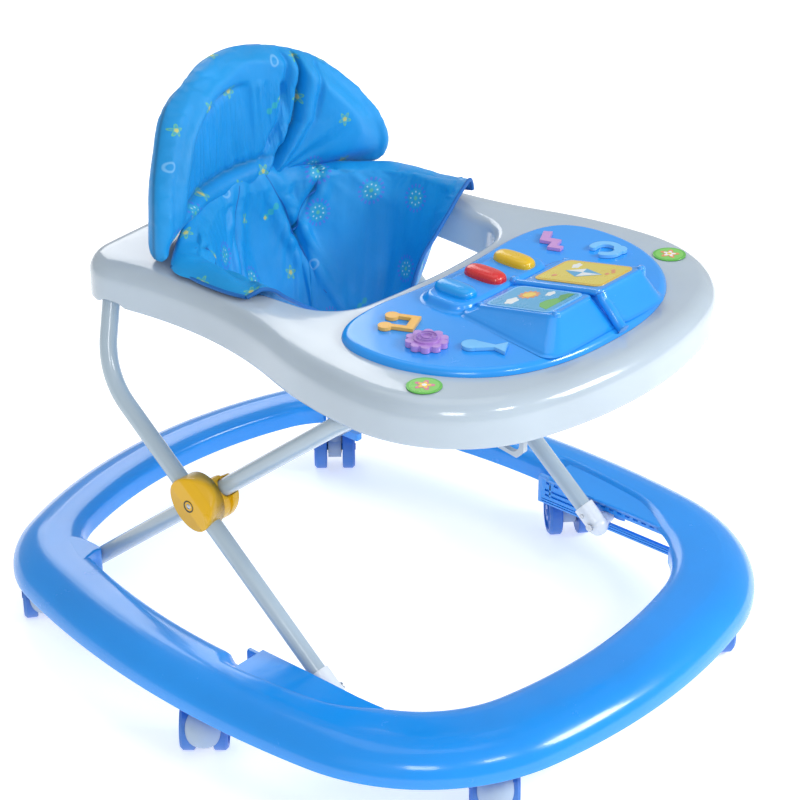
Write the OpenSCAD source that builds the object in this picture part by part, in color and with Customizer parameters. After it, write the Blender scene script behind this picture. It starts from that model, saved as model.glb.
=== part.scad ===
// Baby walker: a blue base ring on six swivelling twin-wheel casters, two crossed pairs of steel legs
// that scissor up and down, and a tray that carries a hanging fabric seat and an activity panel.
// Units are millimetres. +Z is up, the front (tray and toys) faces -Y and X runs across the walker.
// The origin is on the floor, under the middle of the walker's box.

/* [Legs] */
// Outside diameter of the steel leg tube
tube_d = 16; // [15:0.5:16.5]
// Wall thickness of the steel leg tube
tube_wall = 1.2; // [0.8:0.1:2]
// Distance from the middle plane to the outer pair of tubes
outer_leg_x = 188; // [187.5:0.5:188.5]
// Distance from the middle plane to the inner pair of tubes
inner_leg_x = 169; // [168.5:0.5:169.5]

/* [Casters] */
// Wheel diameter of the twin casters
wheel_d = 45; // [40:1:45]
// Width of one wheel
wheel_w = 13; // [10:0.5:13.5]
// How far the axle sits behind the swivel axis
caster_trail = 10; // [8:1:12]

/* [Tray] */
// Wall thickness of the moulded tray and of the base ring
shell = 3; // [2:0.5:3.5]
// Travel of the toy buttons
button_travel = 3; // [2:0.5:3]

/* [Seat] */
// Thickness of the padded backrest
pad_t = 24; // [16:1:26]

/* [Hidden] */
$fn = 64;

blue = [0.16, 0.55, 0.93];
white = [0.93, 0.95, 0.97];
amber = [0.96, 0.72, 0.08];
steel = [0.72, 0.73, 0.75];
cloth = [0.1, 0.55, 0.88];

// brings the middle of the ring over the origin
mid_y = 9.64;
tube_r = tube_d / 2;
bore_r = tube_r - tube_wall;
fit_r = tube_r + 0.05;
pin_r = 3;
pin_hole_r = 3.05;

// ---- scissor linkage, side view, [y, z] ----
base_pin = [194.5, 68];
rack_pin = [-120.8, 68];
cross = [36.85, 196.4];
top_pin = [166, 356];
fold_deg = 27;
slide_a = 170.85;
leg_slope = (cross[1] - base_pin[1]) / (base_pin[0] - cross[0]);
slide_pin = [cross[0] - slide_a, cross[1] + slide_a * leg_slope];
arm_top = norm(top_pin - cross);
arm_slide = norm(slide_pin - cross);
ang_top = atan2(top_pin[1] - cross[1], top_pin[0] - cross[0]);
ang_slide = atan2(slide_pin[1] - cross[1], cross[0] - slide_pin[0]);
arm_base = norm(base_pin - cross);
ang_base = atan2(cross[1] - base_pin[1], base_pin[0] - cross[0]);
// where the front crossbar sits under the level tray when the legs have folded by f degrees
function slide_at(f) = [top_pin[0] - arm_top * cos(ang_top - f) - arm_slide * cos(ang_slide - f),
                        top_pin[1] - arm_top * sin(ang_top - f) + arm_slide * sin(ang_slide - f)];
// where the lower front pins sit in the racks
function rack_at(f) = base_pin[0] - 2 * arm_base * cos(ang_base - f);
leg_dir = [cos(ang_base), sin(ang_base)];

// ---- plan outlines as chains of arcs [radius, sweep], from the front middle round to the rear middle ----
ring_out = [[602, 13.1], [182.8, 68.7], [902.3, 24], [123.6, 51.3]];
ring_out_y = -339;
ring_in = [[493.8, 13.6], [116.4, 63.7], [671.9, 29.1], [90.2, 53.8]];
ring_in_y = -262.7;
tray_out = [[373.3, 18.6], [122.7, 72.8], [363.8, 17.5], [-366.2, 32.2], [40, 97.7]];
tray_out_y = -300.5;
opening = [[700, 6.5], [44, 77.5], [900, 3]];
opening_y = -70;

function chain(a, p, h, i = 0) = i == len(a) ? [[p, h]] :
  let (R = a[i][0], s = a[i][1], c = p + R * [-sin(h), cos(h)], g = h + s * sign(R))
  concat([[p, h, R, s, c]], chain(a, c + R * [sin(g), -cos(g)], g, i + 1));
// adds the last arc, which meets the middle plane square on
function closed(a, y0) = let (w = chain(a, [0, y0], 0), e = w[len(w) - 1], s = 180 - e[1])
  concat(a, [[e[0][0] / sin(s), s]]);
// points along a closed plan outline, pushed out by off, with n[i] steps on arc i of each half
function half_pts(a, y0, n, off) = let (w = chain(closed(a, y0), [0, y0], 0), e = w[len(w) - 2]) concat(
  [for (i = [0:len(w) - 2]) let (h = w[i][1], R = w[i][2], s = w[i][3], c = w[i][4])
    for (k = [0:n[i] - 1]) let (g = h + s * sign(R) * k / n[i]) c + (R + off) * [sin(g), -cos(g)]],
  [e[4] + (e[2] + off) * [sin(e[1] + e[3]), -cos(e[1] + e[3])]]);
function plan_pts(a, y0, n, off) = let (h = half_pts(a, y0, n, off), m = len(h))
  concat(h, [for (i = [m - 2:-1:1]) [-h[i][0], h[i][1]]]);
function lift(p, z) = [for (q = p) [q[0], q[1], z]];
// closed band skinned over a ring of level loops, all with the same number of points
module band(loops) {
  m = len(loops); n = len(loops[0]);
  polyhedron(points = [for (l = loops) for (p = l) p],
    faces = [for (j = [0:m - 1]) for (i = [0:n - 1]) let (a = j * n + i, b = j * n + (i + 1) % n, c = ((j + 1) % m) * n + (i + 1) % n, d = ((j + 1) % m) * n + i)
      for (f = [[a, c, b], [a, d, c]]) f]);
}

// ---- tubes ----
function unit(v) = v / norm(v);
module rod(a, b, r) {
  d = b - a;
  translate(a) rotate([0, acos(d[2] / norm(d)), atan2(d[1], d[0])]) cylinder(h = norm(d), r = r);
}
module bead(p, d, r) { translate(p) rotate([0, acos(d[2]), atan2(d[1], d[0])]) sphere(r); }
function bend_t(a, c, b, R) = let (u = unit(c - a), v = unit(b - c)) R * tan(acos(u * v) / 2);
module bend(a, c, b, R, r) {
  u = unit(c - a); v = unit(b - c); g = acos(u * v); t = R * tan(g / 2);
  n = unit(v - u * (u * v)); w = cross(u, n); o = c - u * t + n * R;
  multmatrix([[-n[0], u[0], w[0], o[0]], [-n[1], u[1], w[1], o[1]], [-n[2], u[2], w[2], o[2]], [0, 0, 0, 1]])
    rotate_extrude(angle = g) translate([R, 0]) circle(r);
}
module bent_tube(p, R, r) {
  n = len(p);
  for (i = [0:n - 2]) {
    d = unit(p[i + 1] - p[i]);
    a = i == 0 ? p[0] : p[i] + d * bend_t(p[i - 1], p[i], p[i + 1], R[i]);
    b = i == n - 2 ? p[n - 1] : p[i + 1] - d * bend_t(p[i], p[i + 1], p[i + 2], R[i + 1]);
    rod(a, b, r);
    if (i > 0) bead(a, d, r + 0.2);
    if (i < n - 2) bead(b, d, r + 0.2);
  }
  for (i = [1:n - 2]) bend(p[i - 1], p[i], p[i + 1], R[i], r);
}
module both() { children(); mirror([1, 0, 0]) children(); }
module side(s) { if (s > 0) children(); else mirror([1, 0, 0]) children(); }
function at(x, p) = [x, p[0], p[1]];
module xrod(x0, x1, p, r) { translate([x0, p[0], p[1]]) rotate([0, 90, 0]) cylinder(h = x1 - x0, r = r); }

outer_path = [at(outer_leg_x, rack_pin + leg_dir * 6), [outer_leg_x, 146, cross[1] + (146 - cross[0]) * leg_slope],
  [156, top_pin[0], top_pin[1]], [0, top_pin[0], top_pin[1]]];
outer_R = [0, 90, 22, 0];
foot = at(inner_leg_x, base_pin + [leg_dir[0], -leg_dir[1]] * 5);
inner_path = [foot, at(inner_leg_x, slide_pin), [0, slide_pin[0], slide_pin[1]]];
inner_R = [0, 24, 0];

module outer_leg_tube() {
  color(white) translate([0, mid_y, 0]) difference() {
    both() bent_tube(outer_path, outer_R, tube_r);
    both() bent_tube([outer_path[0] - [0, leg_dir[0], leg_dir[1]], outer_path[1], outer_path[2], [-1, top_pin[0], top_pin[1]]], outer_R, bore_r);
    both() xrod(outer_leg_x - 12, outer_leg_x + 12, cross, pin_hole_r);
    both() xrod(outer_leg_x - 12, outer_leg_x + 12, rack_pin + leg_dir * 13, 2.05);
  }
}
module inner_leg_tube() {
  color(white) translate([0, mid_y, 0]) difference() {
    both() bent_tube(inner_path, inner_R, tube_r);
    both() bent_tube([inner_path[0] + [0, leg_dir[0], -leg_dir[1]], inner_path[1], [-1, slide_pin[0], slide_pin[1]]], inner_R, bore_r);
    both() xrod(inner_leg_x - 12, inner_leg_x + 12, cross, pin_hole_r);
    both() xrod(inner_leg_x - 12, inner_leg_x + 12, base_pin, pin_hole_r);
  }
}

// ---- base ----
caster_y = [-278, -32, 234];
caster_x = [158, 257, 203];
ring_top = 90;
ring_out_n = [4, 12, 5, 9, 6];
ring_in_n = [4, 12, 5, 9, 6];
// skin height at a distance in from the outer and from the inner edge of the band
ring_skin = [[0, 60], [0, 65], [1.5, 70], [6, 77.5], [13, 83.5], [22, 88], [30, 90]];
ring_skin_in = [[0, 68], [0.5, 74], [3.5, 79.5], [9, 84], [17, 87.8], [25, 89.6]];
module ring_shell() {
  band(concat(
    [for (q = ring_skin) lift(plan_pts(ring_out, ring_out_y, ring_out_n, -q[0]), q[1])],
    [for (i = [len(ring_skin_in) - 1:-1:0]) let (q = ring_skin_in[i]) lift(plan_pts(ring_in, ring_in_y, ring_in_n, q[0]), q[1])],
    [for (q = ring_skin_in) lift(plan_pts(ring_in, ring_in_y, ring_in_n, q[0] + (q[1] < 80 ? shell : shell * 0.4)), q[1] - (q[1] < 76 ? 0 : q[1] < 82 ? 1.2 : shell * 0.92))],
    [for (i = [len(ring_skin) - 1:-1:0]) let (q = ring_skin[i]) lift(plan_pts(ring_out, ring_out_y, ring_out_n, -q[0] - (q[1] < 80 ? shell : shell * 0.4)), q[1] - (q[1] < 66 ? 0 : q[1] < 80 ? 1.2 : shell * 0.92))]));
}
module base_ring() {
  color(blue) translate([0, mid_y, 0]) difference() {
    union() {
      difference() {
        ring_shell();
        // notches for the racks and the rear pivot brackets
        both() translate([174, -216, 40]) cube([34.1, 178.8, 44]);
        both() translate([154.9, 178.9, 40]) cube([22.6, 37.2, 44.1]);
        both() translate([177.4, 178.9, 40]) cube([8.8, 26.2, 44.1]);
      }
      // caster sockets
      both() for (i = [0:2]) translate([caster_x[i], caster_y[i], 52]) cylinder(h = 35.5, r = 8);
    }
    both() for (i = [0:2]) translate([caster_x[i], caster_y[i], 50]) cylinder(h = 31, r = 4.06);
  }
}
module rack(s) {
  color(blue) translate([0, mid_y, 0]) side(s) difference() {
    union() {
      // ledge flush with the ring
      translate([0, 0, ring_top - shell]) linear_extrude(shell) polygon([[203, -37.3], [231, -37.3], [230, -70], [226, -105], [219, -145], [212, -170], [208, -182], [203, -182]]);
      // hanging plate
      translate([203, -213, 55]) cube([4, 175.7, 28.8]);
      translate([203, -142, 80]) cube([4, 104.7, ring_top - 80]);
      // grooved ribs along the plate
      for (z = [55, 79]) translate([207, -213, z]) cube([1, 175.7, 2]);
    }
    translate([200, 0, 0]) rotate([90, 0, 90]) linear_extrude(10) {
      translate([rack_at(fold_deg) - 0.8, rack_pin[1]]) circle(6.3);
      translate([rack_pin[0] + 0.8, rack_pin[1]]) circle(6.3);
      translate([rack_at(fold_deg) - 0.8, rack_pin[1] - 6.3]) square([rack_pin[0] - rack_at(fold_deg) + 1.6, 12.6]);
    }
    // row of height marks above the slot
    for (k = [0:14]) translate([202, -198 + k * 9, 80.5]) cube([1.8, 4.5, 3]);
  }
}
module rear_bracket(s) {
  color(blue) translate([0, mid_y, 0]) side(s) difference() {
    translate([177.5, 179, 52]) cube([8.5, 26, 31.8]);
    xrod(176, 187, base_pin, pin_hole_r);
  }
}
module rear_pivot_pins() { color(steel) translate([0, mid_y, 0]) both() { xrod(160.2, 185.5, base_pin, pin_r); xrod(158.4, 160.4, base_pin, 5.5); } }

// ---- casters: hood faces +x before turning ----
function yaw(s, i) = s < 0 ? [-139, -139, -128][i] : [-128, 48, 42][i];
module place_caster(s, i) { translate([s * caster_x[i], caster_y[i] + mid_y, 0]) rotate([0, 0, yaw(s, i)]) children(); }
wheel_z = wheel_d / 2;
module caster_hood() {
  color(white) difference() {
    union() {
      intersection() {
        translate([2, 0, 28]) sphere(18.6);
        translate([-30, -30, 12]) cube([60, 60, 40]);
      }
      translate([-caster_trail, -6.8, wheel_z]) rotate([-90, 0, 0]) cylinder(h = 13.6, r = 11);
      translate([0, 0, 30]) cylinder(h = 21, r = 7.5);
    }
    for (m = [-1, 1]) translate([-caster_trail, m > 0 ? 7.2 : -7.2 - 30, wheel_z]) rotate([-90, 0, 0]) cylinder(h = 30, r = wheel_d / 2 + 0.8);
    translate([0, 0, 36]) cylinder(h = 20, r = 4);
    translate([-caster_trail, -20, wheel_z]) rotate([-90, 0, 0]) cylinder(h = 40, r = 3.55);
  }
}
module caster_stem() { color(steel) { translate([0, 0, 36]) cylinder(h = 43, r = 4); } }
module caster_wheels() {
  color(blue) translate([-caster_trail, 0, wheel_z]) rotate([-90, 0, 0]) {
    translate([0, 0, -22]) cylinder(h = 44, r = 3.5);
    for (m = [0, 1]) mirror([0, 0, m]) translate([0, 0, 8.2]) rotate_extrude()
      polygon([[3, 0], [wheel_d / 2 - 1.2, 0], [wheel_d / 2, 1.2], [wheel_d / 2, wheel_w - 2.5], [wheel_d / 2 - 2.5, wheel_w],
        [wheel_d / 2 - 5, wheel_w], [wheel_d / 2 - 6, wheel_w - 2], [9, wheel_w - 2], [8, wheel_w], [3, wheel_w]]);
  }
}

// ---- leg fittings ----
module rack_plug(s) {
  color(white) translate([0, mid_y, 0]) side(s) difference() {
    union() {
      rod(at(outer_leg_x, rack_pin + leg_dir * 21), at(outer_leg_x, rack_pin - leg_dir * 3), 10);
      translate(at(outer_leg_x, rack_pin - leg_dir * 2)) sphere(10.3);
      xrod(outer_leg_x, 201, rack_pin, 6.8);
      xrod(200, 207.9, rack_pin, 6);
    }
    rod(at(outer_leg_x, rack_pin + leg_dir * 6), at(outer_leg_x, rack_pin + leg_dir * 40), tube_r);
    xrod(outer_leg_x - 12, outer_leg_x + 30, rack_pin, 2);
    xrod(outer_leg_x - 12, outer_leg_x + 12, rack_pin + leg_dir * 13, 2);
  }
}
module rack_slide_pins() {
  color(steel) translate([0, mid_y, 0]) both() {
    xrod(outer_leg_x - 12, outer_leg_x + 19.8, rack_pin, 2);
    xrod(outer_leg_x - 12.2, outer_leg_x - 10.6, rack_pin, 3.8);
    xrod(outer_leg_x - 10.8, outer_leg_x + 10.8, rack_pin + leg_dir * 13, 2);
  }
}
module inner_leg_end_plugs() {
  color(white) translate([0, mid_y, 0]) both() difference() {
    rod(at(inner_leg_x, base_pin + [leg_dir[0], -leg_dir[1]] * 4.5), at(inner_leg_x, base_pin - [leg_dir[0], -leg_dir[1]] * 18), bore_r);
    xrod(inner_leg_x - 12, inner_leg_x + 12, base_pin, pin_hole_r);
  }
}
up_a = [0, leg_dir[0], leg_dir[1]];
up_b = [0, -leg_dir[0], leg_dir[1]];
module pivot_cover_outer(s) {
  c = at(outer_leg_x, cross);
  color(amber) translate([0, mid_y, 0]) side(s) difference() {
    union() {
      xrod(179.2, 194, cross, 25.6);
      intersection() {
        rod(c - up_a * 26, c + up_a * 26, 11.5);
        xrod(179.2, 202, cross, 25);
      }
      xrod(194, 200, cross, 9);
    }
    rod(c - up_a * 60, c + up_a * 60, tube_r);
    xrod(150, 210, cross, pin_hole_r);
  }
}
module pivot_cover_inner(s) {
  c = at(inner_leg_x, cross);
  color(amber) translate([0, mid_y, 0]) side(s) difference() {
    union() {
      xrod(162, 178.8, cross, 25);
      rod(c - up_b * 30, c + up_b * 34, 9.8);
    }
    rod(c - up_b * 60, c + up_b * 60, tube_r);
    xrod(150, 210, cross, 3);
    translate([180, cross[0] - 40, cross[1] - 40]) cube([20, 80, 80]);
  }
}
module pivot_bolts() { color(steel) translate([0, mid_y, 0]) both() { xrod(153, 200.6, cross, 3); xrod(200.1, 203, cross, 5.5); xrod(154.4, 159, cross, 6); } }

// ---- tray ----
tray_z0 = 345;
tray_top = 384;
tray_out_n = [5, 12, 4, 6, 11, 2];
opening_n = [6, 13, 5, 16];
function turn(r, n) = [for (k = [0:n]) let (g = 90 * k / n) [r * (1 - cos(g)), r * sin(g)]];
module tray_frame() {
  o = turn(16, 5); q = turn(8, 3); zo = tray_top - 16; zq = tray_top - 8;
  color(white) translate([0, mid_y, 0]) difference() {
    band(concat(
      [lift(plan_pts(tray_out, tray_out_y, tray_out_n, 0), tray_z0)],
      [for (p = o) lift(plan_pts(tray_out, tray_out_y, tray_out_n, -p[0]), zo + p[1])],
      [for (i = [3:-1:0]) lift(plan_pts(opening, opening_y, opening_n, q[i][0]), zq + q[i][1])],
      [for (z = [tray_z0 + 3]) lift(plan_pts(opening, opening_y, opening_n, 0), z)],
      [for (z = [tray_z0 + 3]) lift(plan_pts(opening, opening_y, opening_n, shell), z)],
      [for (i = [0:3]) lift(plan_pts(opening, opening_y, opening_n, shell + q[i][0] * 5 / 8), zq + q[i][1] * 5 / 8)],
      [for (i = [5:-1:0]) lift(plan_pts(tray_out, tray_out_y, tray_out_n, -shell - o[i][0] * 13 / 16), zo + o[i][1] * 13 / 16)],
      [lift(plan_pts(tray_out, tray_out_y, tray_out_n, -shell), tray_z0)]));
    // window for the electronics under the toy panel
    translate([-56, -146, tray_top - 6]) cube([116, 34, 10]);
    // notches over the bent corners of the outer tube when the legs fold flat
    both() translate([163, 140, tray_z0 - 1]) cube([20, 26, 7.5]);
  }
}
module tube_clamps() {
  color(white) translate([0, mid_y, 0]) both() difference() {
    translate([70, top_pin[0] - 11.5, 344]) cube([22, 23, tray_top - shell - 344]);
    xrod(60, 100, top_pin, fit_r);
  }
}
rail_n = 9;
rail_pts = [for (k = [0:rail_n]) slide_at(-0.6 + (fold_deg + 1.2) * k / rail_n)];
slot_r = tube_r + 0.6;
module slide_rail(s) {
  a = rail_pts[0]; b = rail_pts[rail_n];
  color(white) translate([0, mid_y, 0]) side(s) translate([92, 0, 0]) rotate([90, 0, 90]) linear_extrude(5) difference() {
    polygon([[a[0] + 14, tray_top - shell], [a[0] + 14, a[1] - 6], [a[0] + 8, a[1] - 13], [b[0] - 6, b[1] - 13], [b[0] - 13, b[1] - 6], [b[0] - 13, tray_top - shell]]);
    for (p = rail_pts) translate(p) circle(slot_r);
    for (k = [0:rail_n - 1]) let (p = rail_pts[k], q = rail_pts[k + 1], d = (q - p) / norm(q - p), m = [-d[1], d[0]] * slot_r)
      polygon([p + m, q + m, q - m, p - m]);
  }
}

// ---- toy panel ----
panel_half = [[0, -88], [26, -87], [54, -82], [86, -76], [118, -78], [142, -90], [156, -112], [160, -140], [157, -168], [147, -196],
  [130, -222], [106, -243], [76, -257], [40, -265], [0, -267]];
panel_loop = concat(panel_half, [for (i = [len(panel_half) - 2:-1:1]) [-panel_half[i][0], panel_half[i][1]]]);
function cr(a, b, c, d, t) = 0.5 * (2 * b + (c - a) * t + (2 * a - 5 * b + 4 * c - d) * t * t + (3 * b - a - 3 * c + d) * t * t * t);
function smooth(p, m) = let (n = len(p)) [for (i = [0:n - 1]) for (k = [0:m - 1]) cr(p[(i + n - 1) % n], p[i], p[(i + 1) % n], p[(i + 2) % n], k / m)];
module pill(w, h, r) { translate([-(w / 2 - r), -(h / 2 - r)]) square([w - 2 * r, h - 2 * r]); for (x = [-1, 1], y = [-1, 1]) translate([x * (w / 2 - r), y * (h / 2 - r)]) circle(r); translate([-(w / 2 - r), -h / 2]) square([w - 2 * r, h]); translate([-w / 2, -(h / 2 - r)]) square([w, h - 2 * r]); }
button_x = [-37, 2, 41];
button_y = -129;
panel_z = tray_top + 7;
book_x = [-48, 80];
book_side = [[-153, panel_z - 1], [-153, 395], [-158, 396], [-238, 412], [-243, 411], [-257, panel_z - 1]];
module toy_panel() {
  color(blue) translate([0, mid_y, 0]) difference() {
    union() {
      translate([0, 0, tray_top]) linear_extrude(5) polygon(smooth(panel_loop, 4));
      translate([0, 0, tray_top + 5]) linear_extrude(2) scale([0.975, 0.975]) translate([0, -4]) polygon(smooth(panel_loop, 4));
      translate([2, button_y, tray_top + 5]) linear_extrude(panel_z - tray_top) pill(122, 50, 15);
      translate([book_x[0], 0, 0]) rotate([90, 0, 90]) linear_extrude(book_x[1] - book_x[0]) polygon(book_side);
      // spine of the book
      translate([13, 0, 0]) rotate([90, 0, 90]) linear_extrude(7) polygon([[-151, panel_z - 1], [-151, 399], [-156, 400], [-240, 415.5], [-245, 414], [-259, panel_z - 1]]);
      // posts that hold the circuit board
      for (x = [-52, 56.6], y = [-141, -117]) translate([x, y, 380]) cylinder(h = 6, r = 2.5);
    }
    for (x = button_x) translate([x, button_y, 0]) {
      translate([0, 0, tray_top + 6]) linear_extrude(30) pill(20.6, 40.6, 9.3);
      translate([0, 0, tray_top - 1]) linear_extrude(7) pill(24.4, 44.4, 11);
    }
    // hollow under the book
    translate([book_x[0] + 4, 0, 0]) rotate([90, 0, 90]) linear_extrude(book_x[1] - book_x[0] - 8)
      polygon([[-158, tray_top - 1], [-158, 391], [-236, 407], [-246, 390], [-249, tray_top - 1]]);
  }
}
module circuit_board() { color([0.1, 0.4, 0.2]) translate([0, mid_y, 0]) difference() { translate([-54.9, -145, 378.2]) cube([114.4, 32, 1.6]); for (x = [-50, 54]) translate([x, -113, 370]) cylinder(h = 20, r = 0.8); } }
module speaker() { color([0.15, 0.15, 0.16]) translate([0, mid_y, 0]) translate([-66, -192, 0]) { translate([0, 0, 372]) cylinder(h = 9, r = 20); translate([0, 0, 362]) cylinder(h = 10, r = 11); } }
module battery_cover() {
  color(white) translate([0, mid_y, 0]) difference() {
    translate([-38, -214, 352]) cube([76, 58, 29]);
    translate([-35.5, -211.5, 354.5]) cube([71, 53, 40]);
    translate([30, -185, 351]) cylinder(h = 3, r = 1.6);
  }
}
module button_return_rings() { color([0.85, 0.85, 0.83]) translate([0, mid_y, 0]) for (x = button_x) translate([x, button_y, 379.8]) difference() { cylinder(h = 4.4, r = 6.5); translate([0, 0, -1]) cylinder(h = 8, r = 4.3); } }
module button(k) {
  translate([button_x[k], button_y, 0]) {
    translate([0, 0, 387.9]) linear_extrude(1.9) pill(22.8, 43.2, 10.6);
    translate([0, 0, 389.8]) linear_extrude(11.2) pill(20, 40, 9);
    translate([0, 0, 401]) linear_extrude(2) pill(17.4, 37.4, 8.2);
    translate([0, 0, 403]) linear_extrude(1.5) pill(12, 32, 5.6);
    translate([0, 0, 383.6]) cylinder(h = 5, r = 3.5);
  }
}
module button_blue() { color([0.1, 0.66, 0.95]) translate([0, mid_y, 0]) button(0); }
module button_red() { color([0.9, 0.12, 0.14]) translate([0, mid_y, 0]) button(1); }
module button_yellow() { color([0.93, 0.72, 0.08]) translate([0, mid_y, 0]) button(2); }
// slope of the pages
page = atan2(412 - 396, 80);
module on_page(x, y) { translate([x, -158, 396]) rotate([-page, 0, 0]) translate([0, y, 0]) mirror([0, 1, 0]) children(); }
module picture_plate_blue() { color([0.25, 0.7, 0.95]) translate([0, mid_y, 0]) translate([-18, -158, 396]) rotate([-page, 0, 0]) translate([0, -40, 0.02]) linear_extrude(1.6) pill(48, 70, 7); }
module picture_plate_yellow() { color([0.93, 0.8, 0.12]) translate([0, mid_y, 0]) translate([49, -158, 396]) rotate([-page, 0, 0]) translate([0, -40, 0.02]) linear_extrude(1.6) pill(50, 72, 7); }
shape_z = panel_z;
module shape_note() { color([0.98, 0.66, 0.1]) translate([0, mid_y, 0]) translate([-105, -124, shape_z]) rotate([0, 0, 24]) linear_extrude(3) {
  translate([-11, 8]) circle(6); translate([9, 8]) circle(6); translate([-12, -14]) square([5, 22]); translate([8, -14]) square([5, 22]); translate([-12, -16]) square([25, 7]); } }
module shape_flower() { color([0.78, 0.45, 0.85]) translate([0, mid_y, 0]) translate([-118, -166, shape_z]) { linear_extrude(5) { circle(15); for (k = [0:9]) rotate(k * 36) translate([14, 0]) circle(4); } translate([0, 0, 4]) cylinder(h = 2.5, r = 11); } }
module shape_fish() { color([0.35, 0.75, 0.97]) translate([0, mid_y, 0]) translate([-94, -204, shape_z]) rotate([0, 0, -60]) linear_extrude(3) {
  translate([-9, 0]) circle(8); polygon([[-4, -6.5], [12, -2], [12, 2], [-4, 6.5]]); polygon([[10, -2], [20, -9], [20, 9], [10, 2]]); } }
module shape_zigzag() { color([0.9, 0.5, 0.8]) translate([0, mid_y, 0]) translate([106, -120, shape_z]) rotate([0, 0, 62]) linear_extrude(3)
  polygon([[-20, 2], [-12, 11], [-4, 3], [4, 11], [20, 0], [16, -7], [5, 1], [-3, -7], [-12, 2], [-16, -3]]); }
module shape_curl() { color([0.35, 0.75, 0.97]) translate([0, mid_y, 0]) translate([122, -166, shape_z]) rotate([0, 0, 20]) linear_extrude(3) {
  difference() { circle(15); circle(8); translate([-20, 0]) square([20, 20]); } translate([-11.5, 0]) circle(3.5); translate([0, 11.5]) circle(3.5); translate([4, -12]) circle(6); } }
module badge_discs() { color([0.45, 0.8, 0.2]) translate([0, mid_y, 0]) both() translate([166, -204, tray_top]) cylinder(h = 0.8, r = 14); }

// ---- seat ----
pad_c = -56;
pad_R = 233;
module dome_outline(w, z0, z1, grow) {
  n = 24;
  polygon(concat([[-w - grow, z0]], [for (k = [0:n]) let (g = 180 - 180 * k / n) [(w + grow) * cos(g), z0 + 40 + (z1 + grow - z0 - 40) * pow(sin(g), 0.72)]], [[w + grow, z0]]));
}
module backrest_pad() {
  color(cloth) translate([0, mid_y, 0]) intersection() {
    translate([0, pad_c, 380]) difference() { cylinder(h = 170, r = pad_R); translate([0, 0, -1]) cylinder(h = 172, r = pad_R - pad_t); }
    translate([0, 220, 0]) rotate([90, 0, 0]) linear_extrude(160) dome_outline(143, 386, 530, 0);
  }
}
sling_y = 38;
module seat_sling() {
  color(cloth) translate([0, mid_y, 0]) translate([0, sling_y, 0]) difference() {
    rotate_extrude() polygon([[0, 240], [54, 244], [83, 262], [98, 300], [103, 350], [105, 380], [97, 380], [94, 350], [89, 302], [75, 270], [50, 254], [0, 250]]);
    // leg holes
    for (m = [-1, 1]) translate([m * 46, -80, 292]) rotate([90, 0, 0]) cylinder(h = 90, r = 34, center = true);
  }
}
// tabs that carry the sling on the wall of the tray opening: [angle, reach]
hooks = [[8, 118.9], [30, 115], [90, 110.2], [150, 115], [172, 118.9]];
module seat_hooks() {
  color(white) translate([0, mid_y, 0]) for (h = hooks)
    translate([0, sling_y, 360]) rotate([0, 0, h[0]]) translate([105.1, -5, 0]) cube([h[1] - 105.1, 10, 16]);
}

base_ring();
rack_left();
rack_right();
rear_bracket_left();
rear_bracket_right();
rear_pivot_pins();
caster_hood_front_left();
caster_hood_front_right();
caster_hood_mid_left();
caster_hood_mid_right();
caster_hood_rear_left();
caster_hood_rear_right();
caster_stem_front_left();
caster_stem_front_right();
caster_stem_mid_left();
caster_stem_mid_right();
caster_stem_rear_left();
caster_stem_rear_right();
caster_wheels_front_left();
caster_wheels_front_right();
caster_wheels_mid_left();
caster_wheels_mid_right();
caster_wheels_rear_left();
caster_wheels_rear_right();
outer_leg_tube();
rack_plug_left();
rack_plug_right();
rack_slide_pins();
pivot_cover_outer_left();
pivot_cover_outer_right();
inner_leg_tube();
inner_leg_end_plugs();
pivot_cover_inner_left();
pivot_cover_inner_right();
pivot_bolts();
tray_frame();
tube_clamps();
slide_rail_left();
slide_rail_right();
toy_panel();
circuit_board();
speaker();
battery_cover();
button_return_rings();
button_blue();
button_red();
button_yellow();
picture_plate_blue();
picture_plate_yellow();
shape_note();
shape_flower();
shape_fish();
shape_zigzag();
shape_curl();
badge_discs();
seat_sling();
backrest_pad();
seat_hooks();

module rack_left() { rack(1); }
module rack_right() { rack(-1); }
module rear_bracket_left() { rear_bracket(1); }
module rear_bracket_right() { rear_bracket(-1); }
module caster_hood_front_left() { place_caster(1, 0) caster_hood(); }
module caster_hood_front_right() { place_caster(-1, 0) caster_hood(); }
module caster_hood_mid_left() { place_caster(1, 1) caster_hood(); }
module caster_hood_mid_right() { place_caster(-1, 1) caster_hood(); }
module caster_hood_rear_left() { place_caster(1, 2) caster_hood(); }
module caster_hood_rear_right() { place_caster(-1, 2) caster_hood(); }
module caster_stem_front_left() { place_caster(1, 0) caster_stem(); }
module caster_stem_front_right() { place_caster(-1, 0) caster_stem(); }
module caster_stem_mid_left() { place_caster(1, 1) caster_stem(); }
module caster_stem_mid_right() { place_caster(-1, 1) caster_stem(); }
module caster_stem_rear_left() { place_caster(1, 2) caster_stem(); }
module caster_stem_rear_right() { place_caster(-1, 2) caster_stem(); }
module caster_wheels_front_left() { place_caster(1, 0) caster_wheels(); }
module caster_wheels_front_right() { place_caster(-1, 0) caster_wheels(); }
module caster_wheels_mid_left() { place_caster(1, 1) caster_wheels(); }
module caster_wheels_mid_right() { place_caster(-1, 1) caster_wheels(); }
module caster_wheels_rear_left() { place_caster(1, 2) caster_wheels(); }
module caster_wheels_rear_right() { place_caster(-1, 2) caster_wheels(); }
module rack_plug_left() { rack_plug(1); }
module rack_plug_right() { rack_plug(-1); }
module pivot_cover_outer_left() { pivot_cover_outer(1); }
module pivot_cover_outer_right() { pivot_cover_outer(-1); }
module pivot_cover_inner_left() { pivot_cover_inner(1); }
module pivot_cover_inner_right() { pivot_cover_inner(-1); }
module slide_rail_left() { slide_rail(1); }
module slide_rail_right() { slide_rail(-1); }
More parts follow.
